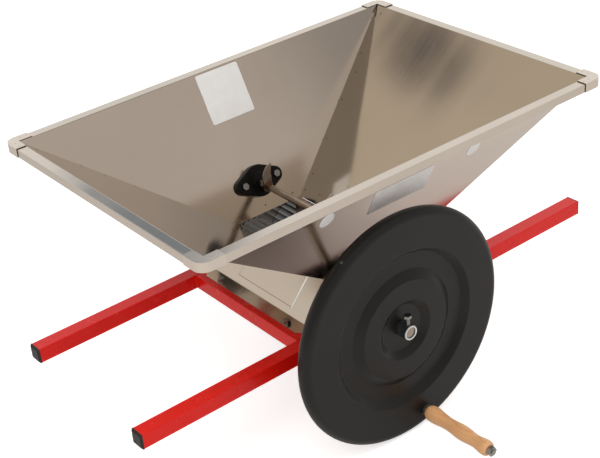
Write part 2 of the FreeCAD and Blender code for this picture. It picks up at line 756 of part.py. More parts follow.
def blade(name, number):
    """A sickle-shaped blade on the agitator shaft. Every second one points the other way."""
    body = new_body(name)
    half, reach = s.blade_half, s.blade_reach
    tip, heel = (s.blade_tip, reach), (-half, Size(0))
    outline = new_sketch(body, "XZ")
    add_outline(outline, [heel, (half, 0), (half - s.blade_hollow, s.blade_belly), tip],
                {3: arc_centre(tip, heel, s.blade_back)})
    pad(body, outline, s.blade_thickness, "Symmetric")
    saddle = new_sketch(body, "XZ")
    add_circle(saddle, 0, 0, s.agitator_radius + s.fit_gap)
    pocket(body, saddle, s.blade_thickness * 2, "Symmetric")
    tilt = 90 - s.blade_angle + 180 * (number % 2)
    far_y = first_collar - s.side_gap - s.blade_thickness / 2
    pitch = far_y * 2 / (s.blade_count - 1)
    place(body, 0, far_y - pitch * number, agitator_z, ACROSS, tilt)


def arc_centre(start, stop, radius):
    """Centre of the counter-clockwise arc of this radius from start to stop."""
    middle_u, middle_v = (start[0] + stop[0]) / 2, (start[1] + stop[1]) / 2
    half_u, half_v = (stop[0] - start[0]) / 2, (stop[1] - start[1]) / 2
    chord = root(half_u * half_u + half_v * half_v)
    depth = root(radius * radius - chord * chord)
    return (middle_u - half_v * depth / chord, middle_v + half_u * depth / chord)


def collar(name, y):
    body = new_body(name)
    ring = new_sketch(body, "XZ")
    add_circle(ring, 0, 0, s.collar_radius)
    add_circle(ring, 0, 0, s.agitator_radius + s.fit_gap)
    pad(body, ring, s.collar_length, "Symmetric")
    place(body, 0, y, agitator_z)


def make_agitator():
    # The near end stops at the wall's slope, below the shaft's own lowest point.
    inner_end = agitator_wall - s.side_gap - s.agitator_radius * side_slope
    shaft("agitator_shaft", 0, agitator_z, s.agitator_radius, -inner_end,
          gear_back + s.shaft_end)
    for number in range(int(s.blade_count.value)):
        blade("agitator_blade_%d" % (number + 1), number)
    middle = first_collar + s.collar_length / 2
    collar("agitator_collar_far", middle)
    collar("agitator_collar_near", -middle)
    flange_bearing("agitator_bearing_far", 1)
    flange_bearing("agitator_bearing_near", -1)


# The collars stand just clear of the lowest point of the hub's face.
hub_face = agitator_wall - (s.hub_height + s.flange_hub * side_slope) / side_stretch
first_collar = hub_face - s.side_gap - s.collar_length


# Gears

def involute(angle):
    return math.tan(angle) - angle


def gear_shape(teeth, module, width, bore, phase):
    """A spur gear along Y with involute flanks. phase is the angle of one tooth."""
    pitch = module * teeth / 2
    base = pitch * math.cos(PRESSURE_ANGLE)
    tip = pitch + module
    bottom = pitch - 1.25 * module
    thickness = math.pi * module / 2 - s.gear_backlash.value / 2
    spread = thickness / (2 * pitch) + involute(PRESSURE_ANGLE)
    start = max(base, bottom)
    flank = []
    for step in range(FLANK_STEPS + 1):
        radius = start + (tip - start) * step / FLANK_STEPS
        flank.append((radius, spread - involute(math.acos(base / radius))))
    flank = [(bottom, spread)] + flank
    points = []
    for tooth in range(int(teeth)):
        middle = phase + 2 * math.pi * tooth / teeth
        for radius, half in flank:
            points.append(polar(radius, middle - half))
        for radius, half in reversed(flank):
            points.append(polar(radius, middle + half))
    points.append(points[0])
    disc = Part.Face(Part.makePolygon(points)).extrude(ACROSS * width)
    return disc.cut(Part.makeCylinder(bore, width, FreeCAD.Vector(), ACROSS))


def polar(radius, angle):
    return FreeCAD.Vector(radius * math.cos(angle), 0, radius * math.sin(angle))


def make_gears():
    module, width = s.gear_module.value, s.gear_width.value
    bore = (s.shaft_radius + s.fit_gap).value
    teeth, driven_teeth = s.roller_teeth.value, s.agitator_teeth.value
    wide = (s.gear_width * 2 + s.gear_step).value
    height = s.roller_height.value
    # A tooth of the drive gear points at the driven roller, which meets it with a gap.
    drive = add_shape("drive_gear", gear_shape(teeth, module, wide, bore, 0))
    drive.Placement.Base = FreeCAD.Vector(-roller_x.value, gear_front.value, height)
    gap = math.pi - math.pi / teeth
    driven = add_shape("driven_gear", gear_shape(teeth, module, width, bore, gap))
    driven.Placement.Base = FreeCAD.Vector(roller_x.value, gear_front.value, height)
    # The agitator gear turns until a gap meets the drive gear's tooth nearest the line
    # between the two axes.
    line = math.atan2((agitator_z - s.roller_height).value, roller_x.value)
    tooth_step = 2 * math.pi / teeth
    nearest = round(line / tooth_step) * tooth_step
    ahead = (line - nearest) * teeth / driven_teeth
    phase = line + math.pi + ahead + math.pi / driven_teeth
    agitator_bore = (s.agitator_radius + s.fit_gap).value
    third = add_shape("agitator_gear",
                      gear_shape(driven_teeth, module, width, agitator_bore, phase))
    third.Placement.Base = FreeCAD.Vector(0, gear_second.value, agitator_z.value)


# Guard over the gears

gear_tip = pitch_roller + s.gear_module
guard_x = roller_x + gear_tip + s.guard_room + s.guard_sheet
guard_low = s.roller_height - gear_tip - s.guard_room - s.guard_sheet
guard_top = agitator_z + pitch_agitator + s.gear_module + s.guard_room + s.guard_sheet
guard_neck = s.roller_height + s.guard_shoulder
guard_cap = pitch_agitator + s.gear_module + s.guard_room + s.guard_sheet
guard_back = gear_back + s.shaft_end + s.guard_room
guard_bolt_x = guard_x + s.guard_ear / 2


def gear_guard():
    """A folded cover on the far rail, open towards the hopper."""
    body = new_body("gear_guard")
    start = rail_outer
    outer = new_sketch(body, "XZ", -start)
    add_outline(outer, [
        (-guard_x, guard_low), (guard_x, guard_low), (guard_x, guard_neck),
        (guard_cap, guard_top), (-guard_cap, guard_top), (-guard_x, guard_neck)])
    pad(body, outer, guard_back + s.guard_sheet - start, reverse=True)
    soften(body, "Fillet", s.guard_corner, lambda edge: runs_along(edge, ACROSS))
    hollow(body, s.guard_sheet, lambda face: near(face.BoundBox.YMax, start))
    # Cut parallel to the hopper's far wall, which leans out above the guard.
    ramp = new_sketch(body, "YZ")
    wall = throat_y + s.hopper_sheet * side_stretch + s.guard_rise
    low_z = s.throat_height + (start - wall) / side_slope
    high_y = wall + side_slope * (guard_top - s.throat_height)
    add_outline(ramp, [(start, low_z), (high_y, guard_top), (start, guard_top)])
    pocket(body, ramp, guard_x * 3, "Symmetric")
    ears = new_sketch(body, "XZ", -start)
    for side in (-1, 1):
        inner_x = (guard_x - s.guard_sheet) * side
        outer_x = (guard_x + s.guard_ear) * side
        add_rectangle(ears, inner_x, s.tube_corner, outer_x, s.tube_size - s.tube_corner)
    pad(body, ears, s.guard_sheet, reverse=True)
    drill = new_sketch(body, "XZ", -start)
    for side in (-1, 1):
        add_circle(drill, guard_bolt_x * side, s.tube_size / 2, s.bolt_radius + s.hole_gap)
    pocket(body, drill, s.guard_sheet * 4, "Symmetric")


# Handwheel, boss and grip

def handwheel():
    """A moulded wheel, the same on both faces: a rounded band, a groove, a raised inner
    disc and a recess round the boss. Its profile is turned about the Y axis."""
    body = new_body("handwheel")
    depth = s.wheel_thickness
    face = [(s.boss_radius + s.fit_gap, s.recess_depth), (s.recess_inner, s.recess_depth),
            (s.recess_outer, s.disc_depth), (s.disc_radius, s.disc_depth),
            (s.groove_inner, s.groove_depth), (s.groove_outer, s.groove_depth),
            (s.band_radius, Size(0)), (s.wheel_radius, Size(0))]
    back = [(radius, depth - inset) for radius, inset in reversed(face)]
    profile = new_sketch(body, "XY")
    add_outline(profile, face + back)
    turned = body.newObject("PartDesign::Revolution", "handwheel_turned")
    turned.Profile = profile
    turned.ReferenceAxis = (profile, ["V_Axis"])
    turned.Angle = 360
    soften(body, "Fillet", s.wheel_edge, lambda edge: is_ring(edge, s.wheel_radius))
    rings = (s.recess_inner, s.recess_outer, s.disc_radius, s.groove_inner, s.groove_outer,
             s.band_radius)
    soften(body, "Fillet", s.wheel_soft,
           lambda edge: any(is_ring(edge, ring) for ring in rings))
    hole = new_sketch(body, "XZ")
    add_circle(hole, handle_x, handle_z, s.handle_rod + s.fit_gap)
    pocket(body, hole, depth * 4, "Symmetric")
    place(body, -roller_x, -wheel_front, s.roller_height)


def is_ring(edge, radius):
    return isinstance(edge.Curve, Part.Circle) and near(edge.Curve.Radius, radius)


def wheel_boss():
    """The steel boss that clamps the wheel to the drive shaft."""
    body = new_body("wheel_boss")
    length = s.boss_reach + s.wheel_thickness + s.boss_back
    ring = new_sketch(body, "XZ", s.boss_reach)
    add_circle(ring, 0, 0, s.boss_radius)
    add_circle(ring, 0, 0, s.shaft_radius + s.fit_gap)
    pad(body, ring, length, reverse=True)
    soften(body, "Chamfer", s.boss_chamfer, lambda edge: near(edge.CenterOfMass.y, -s.boss_reach))
    tapped = new_sketch(body, "XY")
    add_circle(tapped, 0, -s.boss_reach + s.clamp_place, s.bolt_radius + s.fit_gap)
    pocket(body, tapped, s.boss_radius * 2, reverse=True)
    place(body, -roller_x, -wheel_front, s.roller_height)


def grip():
    """The turned wooden grip: wide at both ends, with two waists and a gentle swell."""
    length = s.grip_length.value
    end, swell = s.grip_end.value, s.grip_swell.value
    waist, middle = s.grip_waist.value, s.grip_middle.value
    tail = s.grip_tail.value
    stations = ((0.0, end), (0.03, (end + swell * 2) / 3), (0.1, swell), (0.33, waist),
                (0.6, middle), (0.8, waist), (0.94, swell - 0.6), (0.98, (swell * 2 + tail) / 3),
                (1.0, tail))
    curve = Part.BSplineCurve()
    curve.interpolate([FreeCAD.Vector(radius, -share * length, 0) for share, radius in stations])
    bore = (s.handle_rod + s.running_gap).value
    start, stop = FreeCAD.Vector(bore, 0, 0), FreeCAD.Vector(bore, -length, 0)
    near_end, far_end = FreeCAD.Vector(end, 0, 0), FreeCAD.Vector(tail, -length, 0)
    wire = Part.Wire([Part.makeLine(start, near_end), curve.toShape(),
                      Part.makeLine(far_end, stop), Part.makeLine(stop, start)])
    item = add_shape("handle_grip", Part.Face(wire).revolve(FreeCAD.Vector(), ACROSS, 360))
    item.Placement.Base = FreeCAD.Vector(
        (handle_x - roller_x).value, -grip_start.value, (s.roller_height + handle_z).value)


grip_start = wheel_front + s.washer_height + s.lock_nut_height + s.side_gap


# Fasteners

def hexagon(height, across=s.bolt_hex):
    """A hexagonal prism along Z with slightly bevelled corners at its upper face."""
    flat = across.value / 2
    corner = flat / math.cos(math.pi / 6)
    points = []
    for number in range(7):
        angle = math.pi / 3 * number
        points.append(FreeCAD.Vector(corner * math.cos(angle), corner * math.sin(angle), 0))
    prism = Part.Face(Part.makePolygon(points)).extrude(FreeCAD.Vector(0, 0, height))
    rise = (corner - flat) / 2
    cone = Part.makeCone(corner + height - rise, flat + rise, height)
    return prism.common(cone)


def washer_shape(radius):
    """A washer along Z, twice as wide as its bolt."""
    return Part.makeCylinder(radius.value * 2, s.washer_height.value)


def bolt_shape(shank, washer=True, radius=s.bolt_radius, across=s.bolt_hex):
    """A hexagon bolt along Z. Its washer or head stands on the plane of the origin."""
    lift = s.washer_height.value if washer else 0.0
    head = hexagon(s.bolt_head.value, across)
    head.translate(FreeCAD.Vector(0, 0, lift))
    stem = Part.makeCylinder(radius.value, shank, FreeCAD.Vector(), -UPRIGHT)
    solid = head.fuse(stem)
    if washer:
        solid = solid.fuse(washer_shape(radius))
    return solid.removeSplitter()


def set_at(shape, x, y, z, direction):
    copy = shape.copy()
    turn = FreeCAD.Rotation(UPRIGHT, direction)
    base = FreeCAD.Vector(as_size(x).value, as_size(y).value, as_size(z).value)
    copy.Placement = FreeCAD.Placement(base, turn)
    return copy


def make_fasteners():
    foot_shank = (s.plate_sheet + s.tube_wall * 2).value
    foot_bolt = bolt_shape(foot_shank)
    bolts = []
    for side in (-1, 1):
        x = (cross_x - s.foot_bolt_inset) * side
        for y in (-s.foot_bolts / 2, s.foot_bolts / 2):
            bolts.append(set_at(foot_bolt, x, y, plate_seat, UPRIGHT))
    add_shape("support_bolts", Part.makeCompound(bolts))

    block_bolt = bolt_shape((s.block_foot + s.plate_sheet + s.tube_wall * 2).value)
    bolts = []
    for side_x in (-1, 1):
        for side_y in (-1, 1):
            for step in (-1, 1):
                x = roller_x * side_x + s.block_bolts / 2 * step
                bolts.append(set_at(block_bolt, x, rail_y * side_y, plate_seat + s.block_foot, UPRIGHT))
    add_shape("block_bolts", Part.makeCompound(bolts))

    wall_bolt = bolt_shape((s.flange_thickness + s.hopper_sheet * 3).value, washer=False)
    bolts = []
    for side in (-1, 1):
        normal = FreeCAD.Vector(0, -side * (1 / side_stretch).value, wall_lean.value)
        seat_y = (agitator_wall - s.flange_thickness / side_stretch) * side
        seat_z = agitator_z + s.flange_thickness * wall_lean
        for x in (-s.flange_bolts / 2, s.flange_bolts / 2):
            bolts.append(set_at(wall_bolt, x, seat_y, seat_z, normal))
    add_shape("agitator_bearing_bolts", Part.makeCompound(bolts))

    guard_bolt = bolt_shape((s.guard_sheet + s.tube_wall * 2).value)
    bolts = []
    for side in (-1, 1):
        y = rail_outer + s.guard_sheet
        bolts.append(set_at(guard_bolt, guard_bolt_x * side, y, s.tube_size / 2, ACROSS))
    add_shape("guard_bolts", Part.makeCompound(bolts))

    screw = bolt_shape((s.clamp_height - s.shaft_radius - s.fit_gap).value, washer=False)
    clamp_y = -wheel_front - s.boss_reach + s.clamp_place
    add_shape("clamp_screw", set_at(screw, -roller_x, clamp_y,
                                    s.roller_height + s.clamp_height, UPRIGHT))


def make_handle_fixings():
    """The rod with its head behind the wheel, a thin nut in front of it and one at the tip."""
    x, z = handle_x - roller_x, s.roller_height + handle_z
    tip_y = grip_start + s.grip_length + s.side_gap
    rod_end = tip_y + s.end_nut_height + s.rod_tip
    shank = (rod_end - wheel_front + s.wheel_thickness).value
    rod = bolt_shape(shank, True, s.handle_rod, s.handle_hex)
    add_shape("handle_bolt", set_at(rod, x, -wheel_front + s.wheel_thickness, z, ACROSS))
    bore = (s.handle_rod + s.fit_gap).value
    lock = hexagon(s.lock_nut_height.value, s.handle_hex)
    lock.translate(FreeCAD.Vector(0, 0, s.washer_height.value))
    hole = Part.makeCylinder(bore, (s.washer_height + s.lock_nut_height + s.end_nut_height).value)
    lock = lock.fuse(washer_shape(s.handle_rod)).cut(hole)
    add_shape("handle_lock_nut", set_at(lock, x, -wheel_front, z, -ACROSS))
    tip = hexagon(s.end_nut_height.value, s.handle_hex).cut(hole)
    add_shape("handle_end_nut", set_at(tip, x, -tip_y, z, -ACROSS))


# Assembly

def build():
    make_frame()
    for end, side_x in (("left", -1), ("right", 1)):
        for row, side_y in (("near", -1), ("far", 1)):
            end_plug("end_plug_%s_%s" % (row, end), side_x, side_y)
    support_plate("support_plate_left", -1)
    support_plate("support_plate_right", 1)
    side_plate("side_plate_near", -1)
    side_plate("side_plate_far", 1)
    make_hopper()
    corner_cap("corner_cap_near_left", -1, -1, 0)
    corner_cap("corner_cap_near_right", 1, -1, 90)
    corner_cap("corner_cap_far_right", 1, 1, 180)
    corner_cap("corner_cap_far_left", -1, 1, -90)
    make_rollers()
    make_agitator()
    make_gears()
    gear_guard()
    handwheel()
    wheel_boss()
    grip()
    make_fasteners()
    make_handle_fixings()
    doc.recompute()


def check():
    """Stops on a failed feature, a bad shape or a cut that took nothing away."""
    for item in doc.Objects:
        if "Invalid" in item.State or "Error" in item.State:
            raise RuntimeError("%s is %s" % (item.Name, item.State))
        if item.TypeId == "PartDesign::Pocket":
            taken = item.BaseFeature.Shape.Volume - item.Shape.Volume
            if taken < 0.01:
                raise RuntimeError("%s cuts nothing" % item.Name)
    for item in pieces:
        if item.Shape.isNull() or not item.Shape.isValid():
            raise RuntimeError("%s has a bad shape" % item.Label)


def write():
    os.makedirs("parts", exist_ok=True)
    for item in pieces:
        item.Shape.exportStep("parts/%s.step" % item.Label)


build()
check()
write()
print("%d pieces" % len(pieces))
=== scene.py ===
import math
import random

import bmesh
import bpy
from mathutils import Matrix, Vector


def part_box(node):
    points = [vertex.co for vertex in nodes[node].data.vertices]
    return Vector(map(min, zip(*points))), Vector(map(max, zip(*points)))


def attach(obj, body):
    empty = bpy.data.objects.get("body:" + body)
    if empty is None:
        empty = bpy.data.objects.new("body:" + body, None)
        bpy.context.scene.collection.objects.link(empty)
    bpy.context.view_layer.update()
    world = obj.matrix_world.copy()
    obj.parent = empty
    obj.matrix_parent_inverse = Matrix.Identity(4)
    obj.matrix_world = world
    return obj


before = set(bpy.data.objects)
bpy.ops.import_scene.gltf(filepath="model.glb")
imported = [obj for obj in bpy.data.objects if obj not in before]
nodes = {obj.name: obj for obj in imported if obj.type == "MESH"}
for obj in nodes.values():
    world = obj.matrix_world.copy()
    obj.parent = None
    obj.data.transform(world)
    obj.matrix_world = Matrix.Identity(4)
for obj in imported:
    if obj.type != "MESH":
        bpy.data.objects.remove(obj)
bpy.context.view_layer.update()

# Dresses the fruit crusher: materials, small details, floor, light and camera.
# Lengths are in metres, in the frame of the CAD model.

scene = bpy.context.scene
scene.view_settings.view_transform = "Standard"

# Places of the CAD model that the details sit on. A wall of the hopper runs from the
# throat to the rim, and the rim's flange goes round it.
THROAT_X, THROAT_Y, THROAT_Z = 0.0795, 0.151, 0.1054
RIM_X, RIM_Y, RIM_Z = 0.4415, 0.295, 0.3793
RIM_FLANGE = 0.019
SHEET = 0.0012
RAIL_Y, CROSS_X, TUBE = 0.176, 0.173, 0.030
ROLLER_X, ROLLER_Z = 0.051, 0.057
ROLLER_ROOT, ROLLER_TIP = 0.0450, 0.0500
BOSS_RADIUS = 0.015
AGITATOR_RADIUS = 0.007
AGITATOR_Z = (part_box("agitator_shaft")[0].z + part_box("agitator_shaft")[1].z) / 2
BOSS_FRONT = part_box("wheel_boss")[0].y
CAP_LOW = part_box("corner_cap_far_right")[0]

# Weld marks on the arms of a corner cap, and a nick in the handwheel
CAP_MARKS = [(0.4330, 0.3055, 0.3813), (0.4200, 0.3055, 0.3813),
             (0.4520, 0.2880, 0.3813), (0.4520, 0.2740, 0.3813)]
WHEEL_NICK = (-0.1789, -0.300, 0.2541)


# Node trees

class Nodes:
    """Short calls that build a node tree."""

    def __init__(self, tree):
        self.tree = tree

    def new(self, kind, **settings):
        node = self.tree.nodes.new(kind)
        for name, value in settings.items():
            setattr(node, name, value)
        return node

    def put(self, value, socket):
        """Links an output to a socket, or gives it a fixed value."""
        if isinstance(value, bpy.types.NodeSocket):
            self.tree.links.new(value, socket)
        else:
            socket.default_value = value

    def calc(self, kind, first, second=0.0):
        node = self.new("ShaderNodeMath", operation=kind)
        self.put(first, node.inputs[0])
        self.put(second, node.inputs[1])
        return node.outputs[0]


class Look(Nodes):
    """A material that reads the object's own coordinates."""

    def __init__(self, name, **constants):
        self.material = bpy.data.materials.new(name)
        self.material.use_nodes = True
        super().__init__(self.material.node_tree)
        self.shader = self.tree.nodes["Principled BSDF"]
        self.place = self.new("ShaderNodeTexCoord").outputs["Object"]
        for name, value in constants.items():
            self.put(value, self.shader.inputs[name.replace("_", " ")])

    def mapped(self, stretch, turn=(0, 0, 0)):
        node = self.new("ShaderNodeMapping")
        node.inputs["Scale"].default_value = stretch
        node.inputs["Rotation"].default_value = [math.radians(angle) for angle in turn]
        self.put(self.place, node.inputs["Vector"])
        return node.outputs["Vector"]

    def noise(self, scale, stretch=(1, 1, 1), detail=3.0, roughness=0.5):
        node = self.new("ShaderNodeTexNoise")
        self.put(self.mapped(stretch), node.inputs["Vector"])
        self.put(scale, node.inputs["Scale"])
        self.put(detail, node.inputs["Detail"])
        self.put(roughness, node.inputs["Roughness"])
        return node.outputs["Fac"]

    def ramp(self, factor, *stops):
        """A colour ramp through (position, colour) stops. A number is a grey."""
        node = self.new("ShaderNodeValToRGB")
        self.put(factor, node.inputs["Fac"])
        elements = node.color_ramp.elements
        while len(elements) < len(stops):
            elements.new(0.5)
        for element, (position, colour) in zip(elements, stops):
            element.position = position
            if not isinstance(colour, tuple):
                colour = (colour, colour, colour)
            element.color = (*colour, 1)
        return node.outputs["Color"]

    def mix(self, factor, first, second, mode="MIX"):
        node = self.new("ShaderNodeMix", data_type="RGBA", blend_type=mode)
        self.put(factor, node.inputs[0])
        for socket, value in ((node.inputs[6], first), (node.inputs[7], second)):
            self.put((*value, 1) if isinstance(value, tuple) else value, socket)
        return node.outputs[2]

    def bump(self, height, strength, distance, after=None):
        node = self.new("ShaderNodeBump")
        self.put(height, node.inputs["Height"])
        self.put(strength, node.inputs["Strength"])
        self.put(distance, node.inputs["Distance"])
        if after is not None:
            self.put(after, node.inputs["Normal"])
        return node.outputs["Normal"]

    def axes(self):
        """The object's X, Y and Z."""
        node = self.new("ShaderNodeSeparateXYZ")
        self.put(self.place, node.inputs[0])
        return tuple(node.outputs)

    def reach(self, axis_x, axis_z):
        """The distance from an axis along Y."""
        x, _, z = self.axes()
        side = self.calc("SUBTRACT", x, axis_x)
        rise = self.calc("SUBTRACT", z, axis_z)
        squares = [self.calc("MULTIPLY", leg, leg) for leg in (side, rise)]
        return self.calc("SQRT", self.calc("ADD", *squares))

    def spots(self, places, radius, soft, mirror=True):
        """A mask that is 1 inside small round spots at the places. With mirror they also
        show at the places mirrored across X and Y."""
        place = self.place
        if mirror:
            x, y, z = self.axes()
            joined = self.new("ShaderNodeCombineXYZ")
            self.put(self.calc("ABSOLUTE", x), joined.inputs[0])
            self.put(self.calc("ABSOLUTE", y), joined.inputs[1])
            self.put(z, joined.inputs[2])
            place = joined.outputs[0]
        nearest = 1.0
        for spot in places:
            node = self.new("ShaderNodeVectorMath", operation="DISTANCE")
            self.put(place, node.inputs[0])
            self.put(spot, node.inputs[1])
            nearest = self.calc("MINIMUM", node.outputs["Value"], nearest)
        scaled = self.calc("DIVIDE", nearest, radius * 2)
        return self.ramp(scaled, (0.5 - soft, 1.0), (0.5, 0.0))

    def finish(self, colour, roughness, normal=None):
        self.put(colour, self.shader.inputs["Base Color"])
        self.put(roughness, self.shader.inputs["Roughness"])
        if normal is not None:
            self.put(normal, self.shader.inputs["Normal"])
        return self.material


def shade(colour, share):
    return tuple(value * share for value in colour)


# Materials. low and high bound the roughness.

def sheet_steel(name, grain, tone=1.0, low=0.09, high=0.14, marks_at=()):
    """Rolled stainless sheet with fine lines, shallow waves and faint smudges. The lines
    and waves run along the grain axis, 0 for X and 1 for Y. marks_at are the places of
    small weld marks."""
    look = Look(name, Metallic=1.0)
    lines, waves = [9.0, 9.0, 9.0], [1.0, 1.0, 0.5]
    lines[1 - grain] = 900.0
    waves[1 - grain] = 9.0

    cloud = look.noise(3.0, detail=4)
    base = look.ramp(cloud, (0.3, shade((0.60, 0.528, 0.452), tone)),
                     (0.7, shade((0.65, 0.578, 0.500), tone)))
    smudge = look.noise(9.0, detail=4, roughness=0.6)
    stains = look.ramp(smudge, (0.64, 0.0), (0.82, 0.14))
    colour = look.mix(stains, base, shade((0.42, 0.35, 0.28), tone))

    spread = look.noise(5.0, detail=4, roughness=0.55)
    fine = look.noise(1.0, stretch=lines, detail=2)
    roughness = look.mix(1.0, look.ramp(spread, (0.3, low), (0.75, high)),
                         look.ramp(fine, (0.3, 0.0), (0.7, 0.025)), "ADD")
    normal = look.bump(look.noise(1.0, stretch=waves, detail=1), 0.10, 0.006)
    if marks_at:
        dots = look.spots(marks_at, 0.0016, 0.30)
        rings = look.spots(marks_at, 0.0024, 0.35)
        colour = look.mix(look.calc("MULTIPLY", rings, 0.45), colour, (0.24, 0.17, 0.12))
        normal = look.bump(dots, 0.25, -0.0003, normal)
    return look.finish(colour, roughness, normal)


def powder_coat(name):
    """Red powder coat with faint scuffs and an orange-peel surface."""
    look = Look(name, Specular_IOR_Level=0.32)
    cloud = look.noise(9.0, detail=3)
    colour = look.ramp(cloud, (0.3, (0.74, 0.0060, 0.0020)), (0.7, (0.82, 0.0085, 0.0030)))
    scuffs = look.noise(55.0, stretch=(0.25, 1, 1), detail=6, roughness=0.7)
    worn = look.ramp(scuffs, (0.72, 0.0), (0.80, 0.18))
    colour = look.mix(worn, colour, (0.52, 0.010, 0.006))
    roughness = look.ramp(look.noise(30.0, detail=4), (0.3, 0.20), (0.7, 0.30))
    normal = look.bump(look.noise(420.0, detail=2), 0.05, 0.0004)
    return look.finish(colour, roughness, normal)


def moulded_plastic(name, dark, light, low, high, depth=0.10, specular=0.5, nick=None):
    """Moulded plastic with a fine texture, a little dust and slight sheen changes."""
    look = Look(name, Specular_IOR_Level=specular)
    cloud = look.noise(6.0, detail=5, roughness=0.6)
    colour = look.ramp(cloud, (0.3, dark), (0.72, light))
    dust = look.ramp(look.noise(180.0, detail=3, roughness=0.7), (0.70, 0.0), (0.82, 0.14))
    colour = look.mix(dust, colour, tuple(min(1.0, c * 1.8 + 0.008) for c in light))
    roughness = look.ramp(look.noise(14.0, detail=4), (0.3, low), (0.7, high))
    normal = look.bump(look.noise(1100.0, detail=2), depth, 0.0003)
    if nick:
        scar = look.spots([nick], 0.004, 0.45, mirror=False)
        colour = look.mix(scar, colour, (0.22, 0.20, 0.18))
        normal = look.bump(scar, 0.5, -0.001, normal)
    return look.finish(colour, roughness, normal)


def fluted_moulding(name, axis_x, painted_light_stops):
    """Grey moulded roller, with a colour each for the roots, flanks, crests and tips
    of its flutes: the dark roots are painted shade and the light tips painted highlight."""
    look = Look(name, Specular_IOR_Level=0.6)
    height = look.calc("SUBTRACT", look.reach(axis_x, ROLLER_Z), ROLLER_ROOT)
    share = look.calc("DIVIDE", height, ROLLER_TIP - ROLLER_ROOT)
    cloud = look.calc("MULTIPLY", look.noise(60.0, detail=4), 0.16)
    level = look.calc("ADD", share, cloud)
    # Painted shade darkens the flutes towards their roots, and painted highlight lightens their
    # tips.
    colour = look.ramp(level, *zip((0.08, 0.30, 0.80, 1.02), painted_light_stops))
    roughness = look.ramp(look.noise(30.0, detail=3), (0.3, 0.24), (0.7, 0.36))
    return look.finish(colour, roughness, look.bump(look.noise(900.0, detail=2), 0.03, 0.0003))


def bar_steel(name, colour, low, high, ring_axis=1):
    """Turned or drawn steel: fine rings across the axis and a few darker spots."""
    look = Look(name, Metallic=1.0)
    rings = [20.0, 20.0, 20.0]
    rings[ring_axis] = 900.0
    turned = look.noise(1.0, stretch=rings, detail=2)
    base = look.ramp(look.noise(40.0, detail=4), (0.35, shade(colour, 0.86)), (0.7, colour))
    roughness = look.ramp(look.noise(60.0, detail=3), (0.3, low), (0.7, high))
    return look.finish(base, roughness, look.bump(turned, 0.004, 0.0002))


def blade_steel(name):
    """Sheet steel of a blade, browned by the weld near the shaft."""
    look = Look(name, Metallic=1.0)
    ripple = look.calc("MULTIPLY", look.noise(120.0, detail=3), 0.010)
    distance = look.calc("ADD", look.reach(0.0, AGITATOR_Z), ripple)
    heat = look.ramp(look.calc("MULTIPLY", distance, 20.0),
                     (0.27, 1.0), (0.38, 0.45), (0.52, 0.0))
    base = look.ramp(look.noise(50.0, detail=3),
                     (0.3, (0.47, 0.42, 0.36)), (0.7, (0.56, 0.51, 0.45)))
    colour = look.mix(heat, base, (0.20, 0.085, 0.035))
    roughness = look.ramp(look.noise(90.0, detail=3), (0.3, 0.26), (0.7, 0.40))
    ground = look.noise(1.0, stretch=(60, 60, 900), detail=2)
    return look.finish(colour, roughness, look.bump(ground, 0.06, 0.0002))


def varnished_wood(name):
    """Turned hardwood: faint growth lines along the grip, fine pores and a varnish."""
    look = Look(name, Coat_Weight=0.3, Coat_Roughness=0.2)
    rings = look.new("ShaderNodeTexWave", wave_type="RINGS", rings_direction="Y")
    look.put(look.mapped((1, 0.10, 1), (6, 0, 4)), rings.inputs["Vector"])
    look.put(62.0, rings.inputs["Scale"])
    look.put(2.5, rings.inputs["Distortion"])
    look.put(3.0, rings.inputs["Detail"])
    look.put(1.0, rings.inputs["Detail Scale"])
    base = look.ramp(rings.outputs["Fac"], (0.1, (0.80, 0.445, 0.205)),
                     (0.55, (0.86, 0.515, 0.255)), (0.95, (0.76, 0.395, 0.175)))
    streak = look.noise(1.0, stretch=(560, 24, 560), detail=3)
    fine = look.ramp(streak, (0.42, 0.0), (0.75, 0.40))
    colour = look.mix(fine, base, (0.62, 0.29, 0.11))
    blush = look.ramp(look.noise(14.0, detail=2), (0.4, 0.0), (0.7, 0.30))
    colour = look.mix(blush, colour, (0.82, 0.38, 0.17))
    roughness = look.ramp(streak, (0.3, 0.30), (0.7, 0.44))
    return look.finish(colour, roughness, look.bump(streak, 0.08, 0.0003))


def hub_steel(name, face_y, dark, bright):
    """Steel round the hub: dark along its side, bright turned metal on its front."""
    look = Look(name, Metallic=0.9)
    front = look.calc("LESS_THAN", look.axes()[1], face_y)
    cloud = look.noise(60.0, detail=4)
    side = look.ramp(cloud, (0.3, shade(dark, 0.75)), (0.7, dark))
    face = look.ramp(cloud, (0.3, shade(bright, 0.85)), (0.7, bright))
    roughness = look.ramp(look.noise(80.0, detail=3), (0.3, 0.22), (0.7, 0.34))
    return look.finish(look.mix(front, side, face), roughness)


def paper_sticker(name, colour):
    """A blank vinyl sticker with a slight sheen and a few faint wrinkles."""
    look = Look(name)
    base = look.ramp(look.noise(40.0, detail=3), (0.3, shade(colour, 0.94)), (0.7, colour))
    roughness = look.ramp(look.noise(90.0, detail=2), (0.3, 0.28), (0.7, 0.40))
    return look.finish(base, roughness, look.bump(look.noise(60.0, detail=2), 0.05, 0.0008))


def heat_tint_and_crease_shade(name, dark, light):
    """The brown mark that a weld leaves on stainless sheet; along a bend the same dark brown is
    painted shade in the crease.
    """
    look = Look(name, Metallic=0.8)
    cloud = look.noise(700.0, detail=2)
    colour = look.ramp(cloud, (0.3, dark), (0.7, light))
    roughness = look.ramp(cloud, (0.3, 0.32), (0.7, 0.5))
    return look.finish(colour, roughness, look.bump(cloud, 0.3, 0.0002))


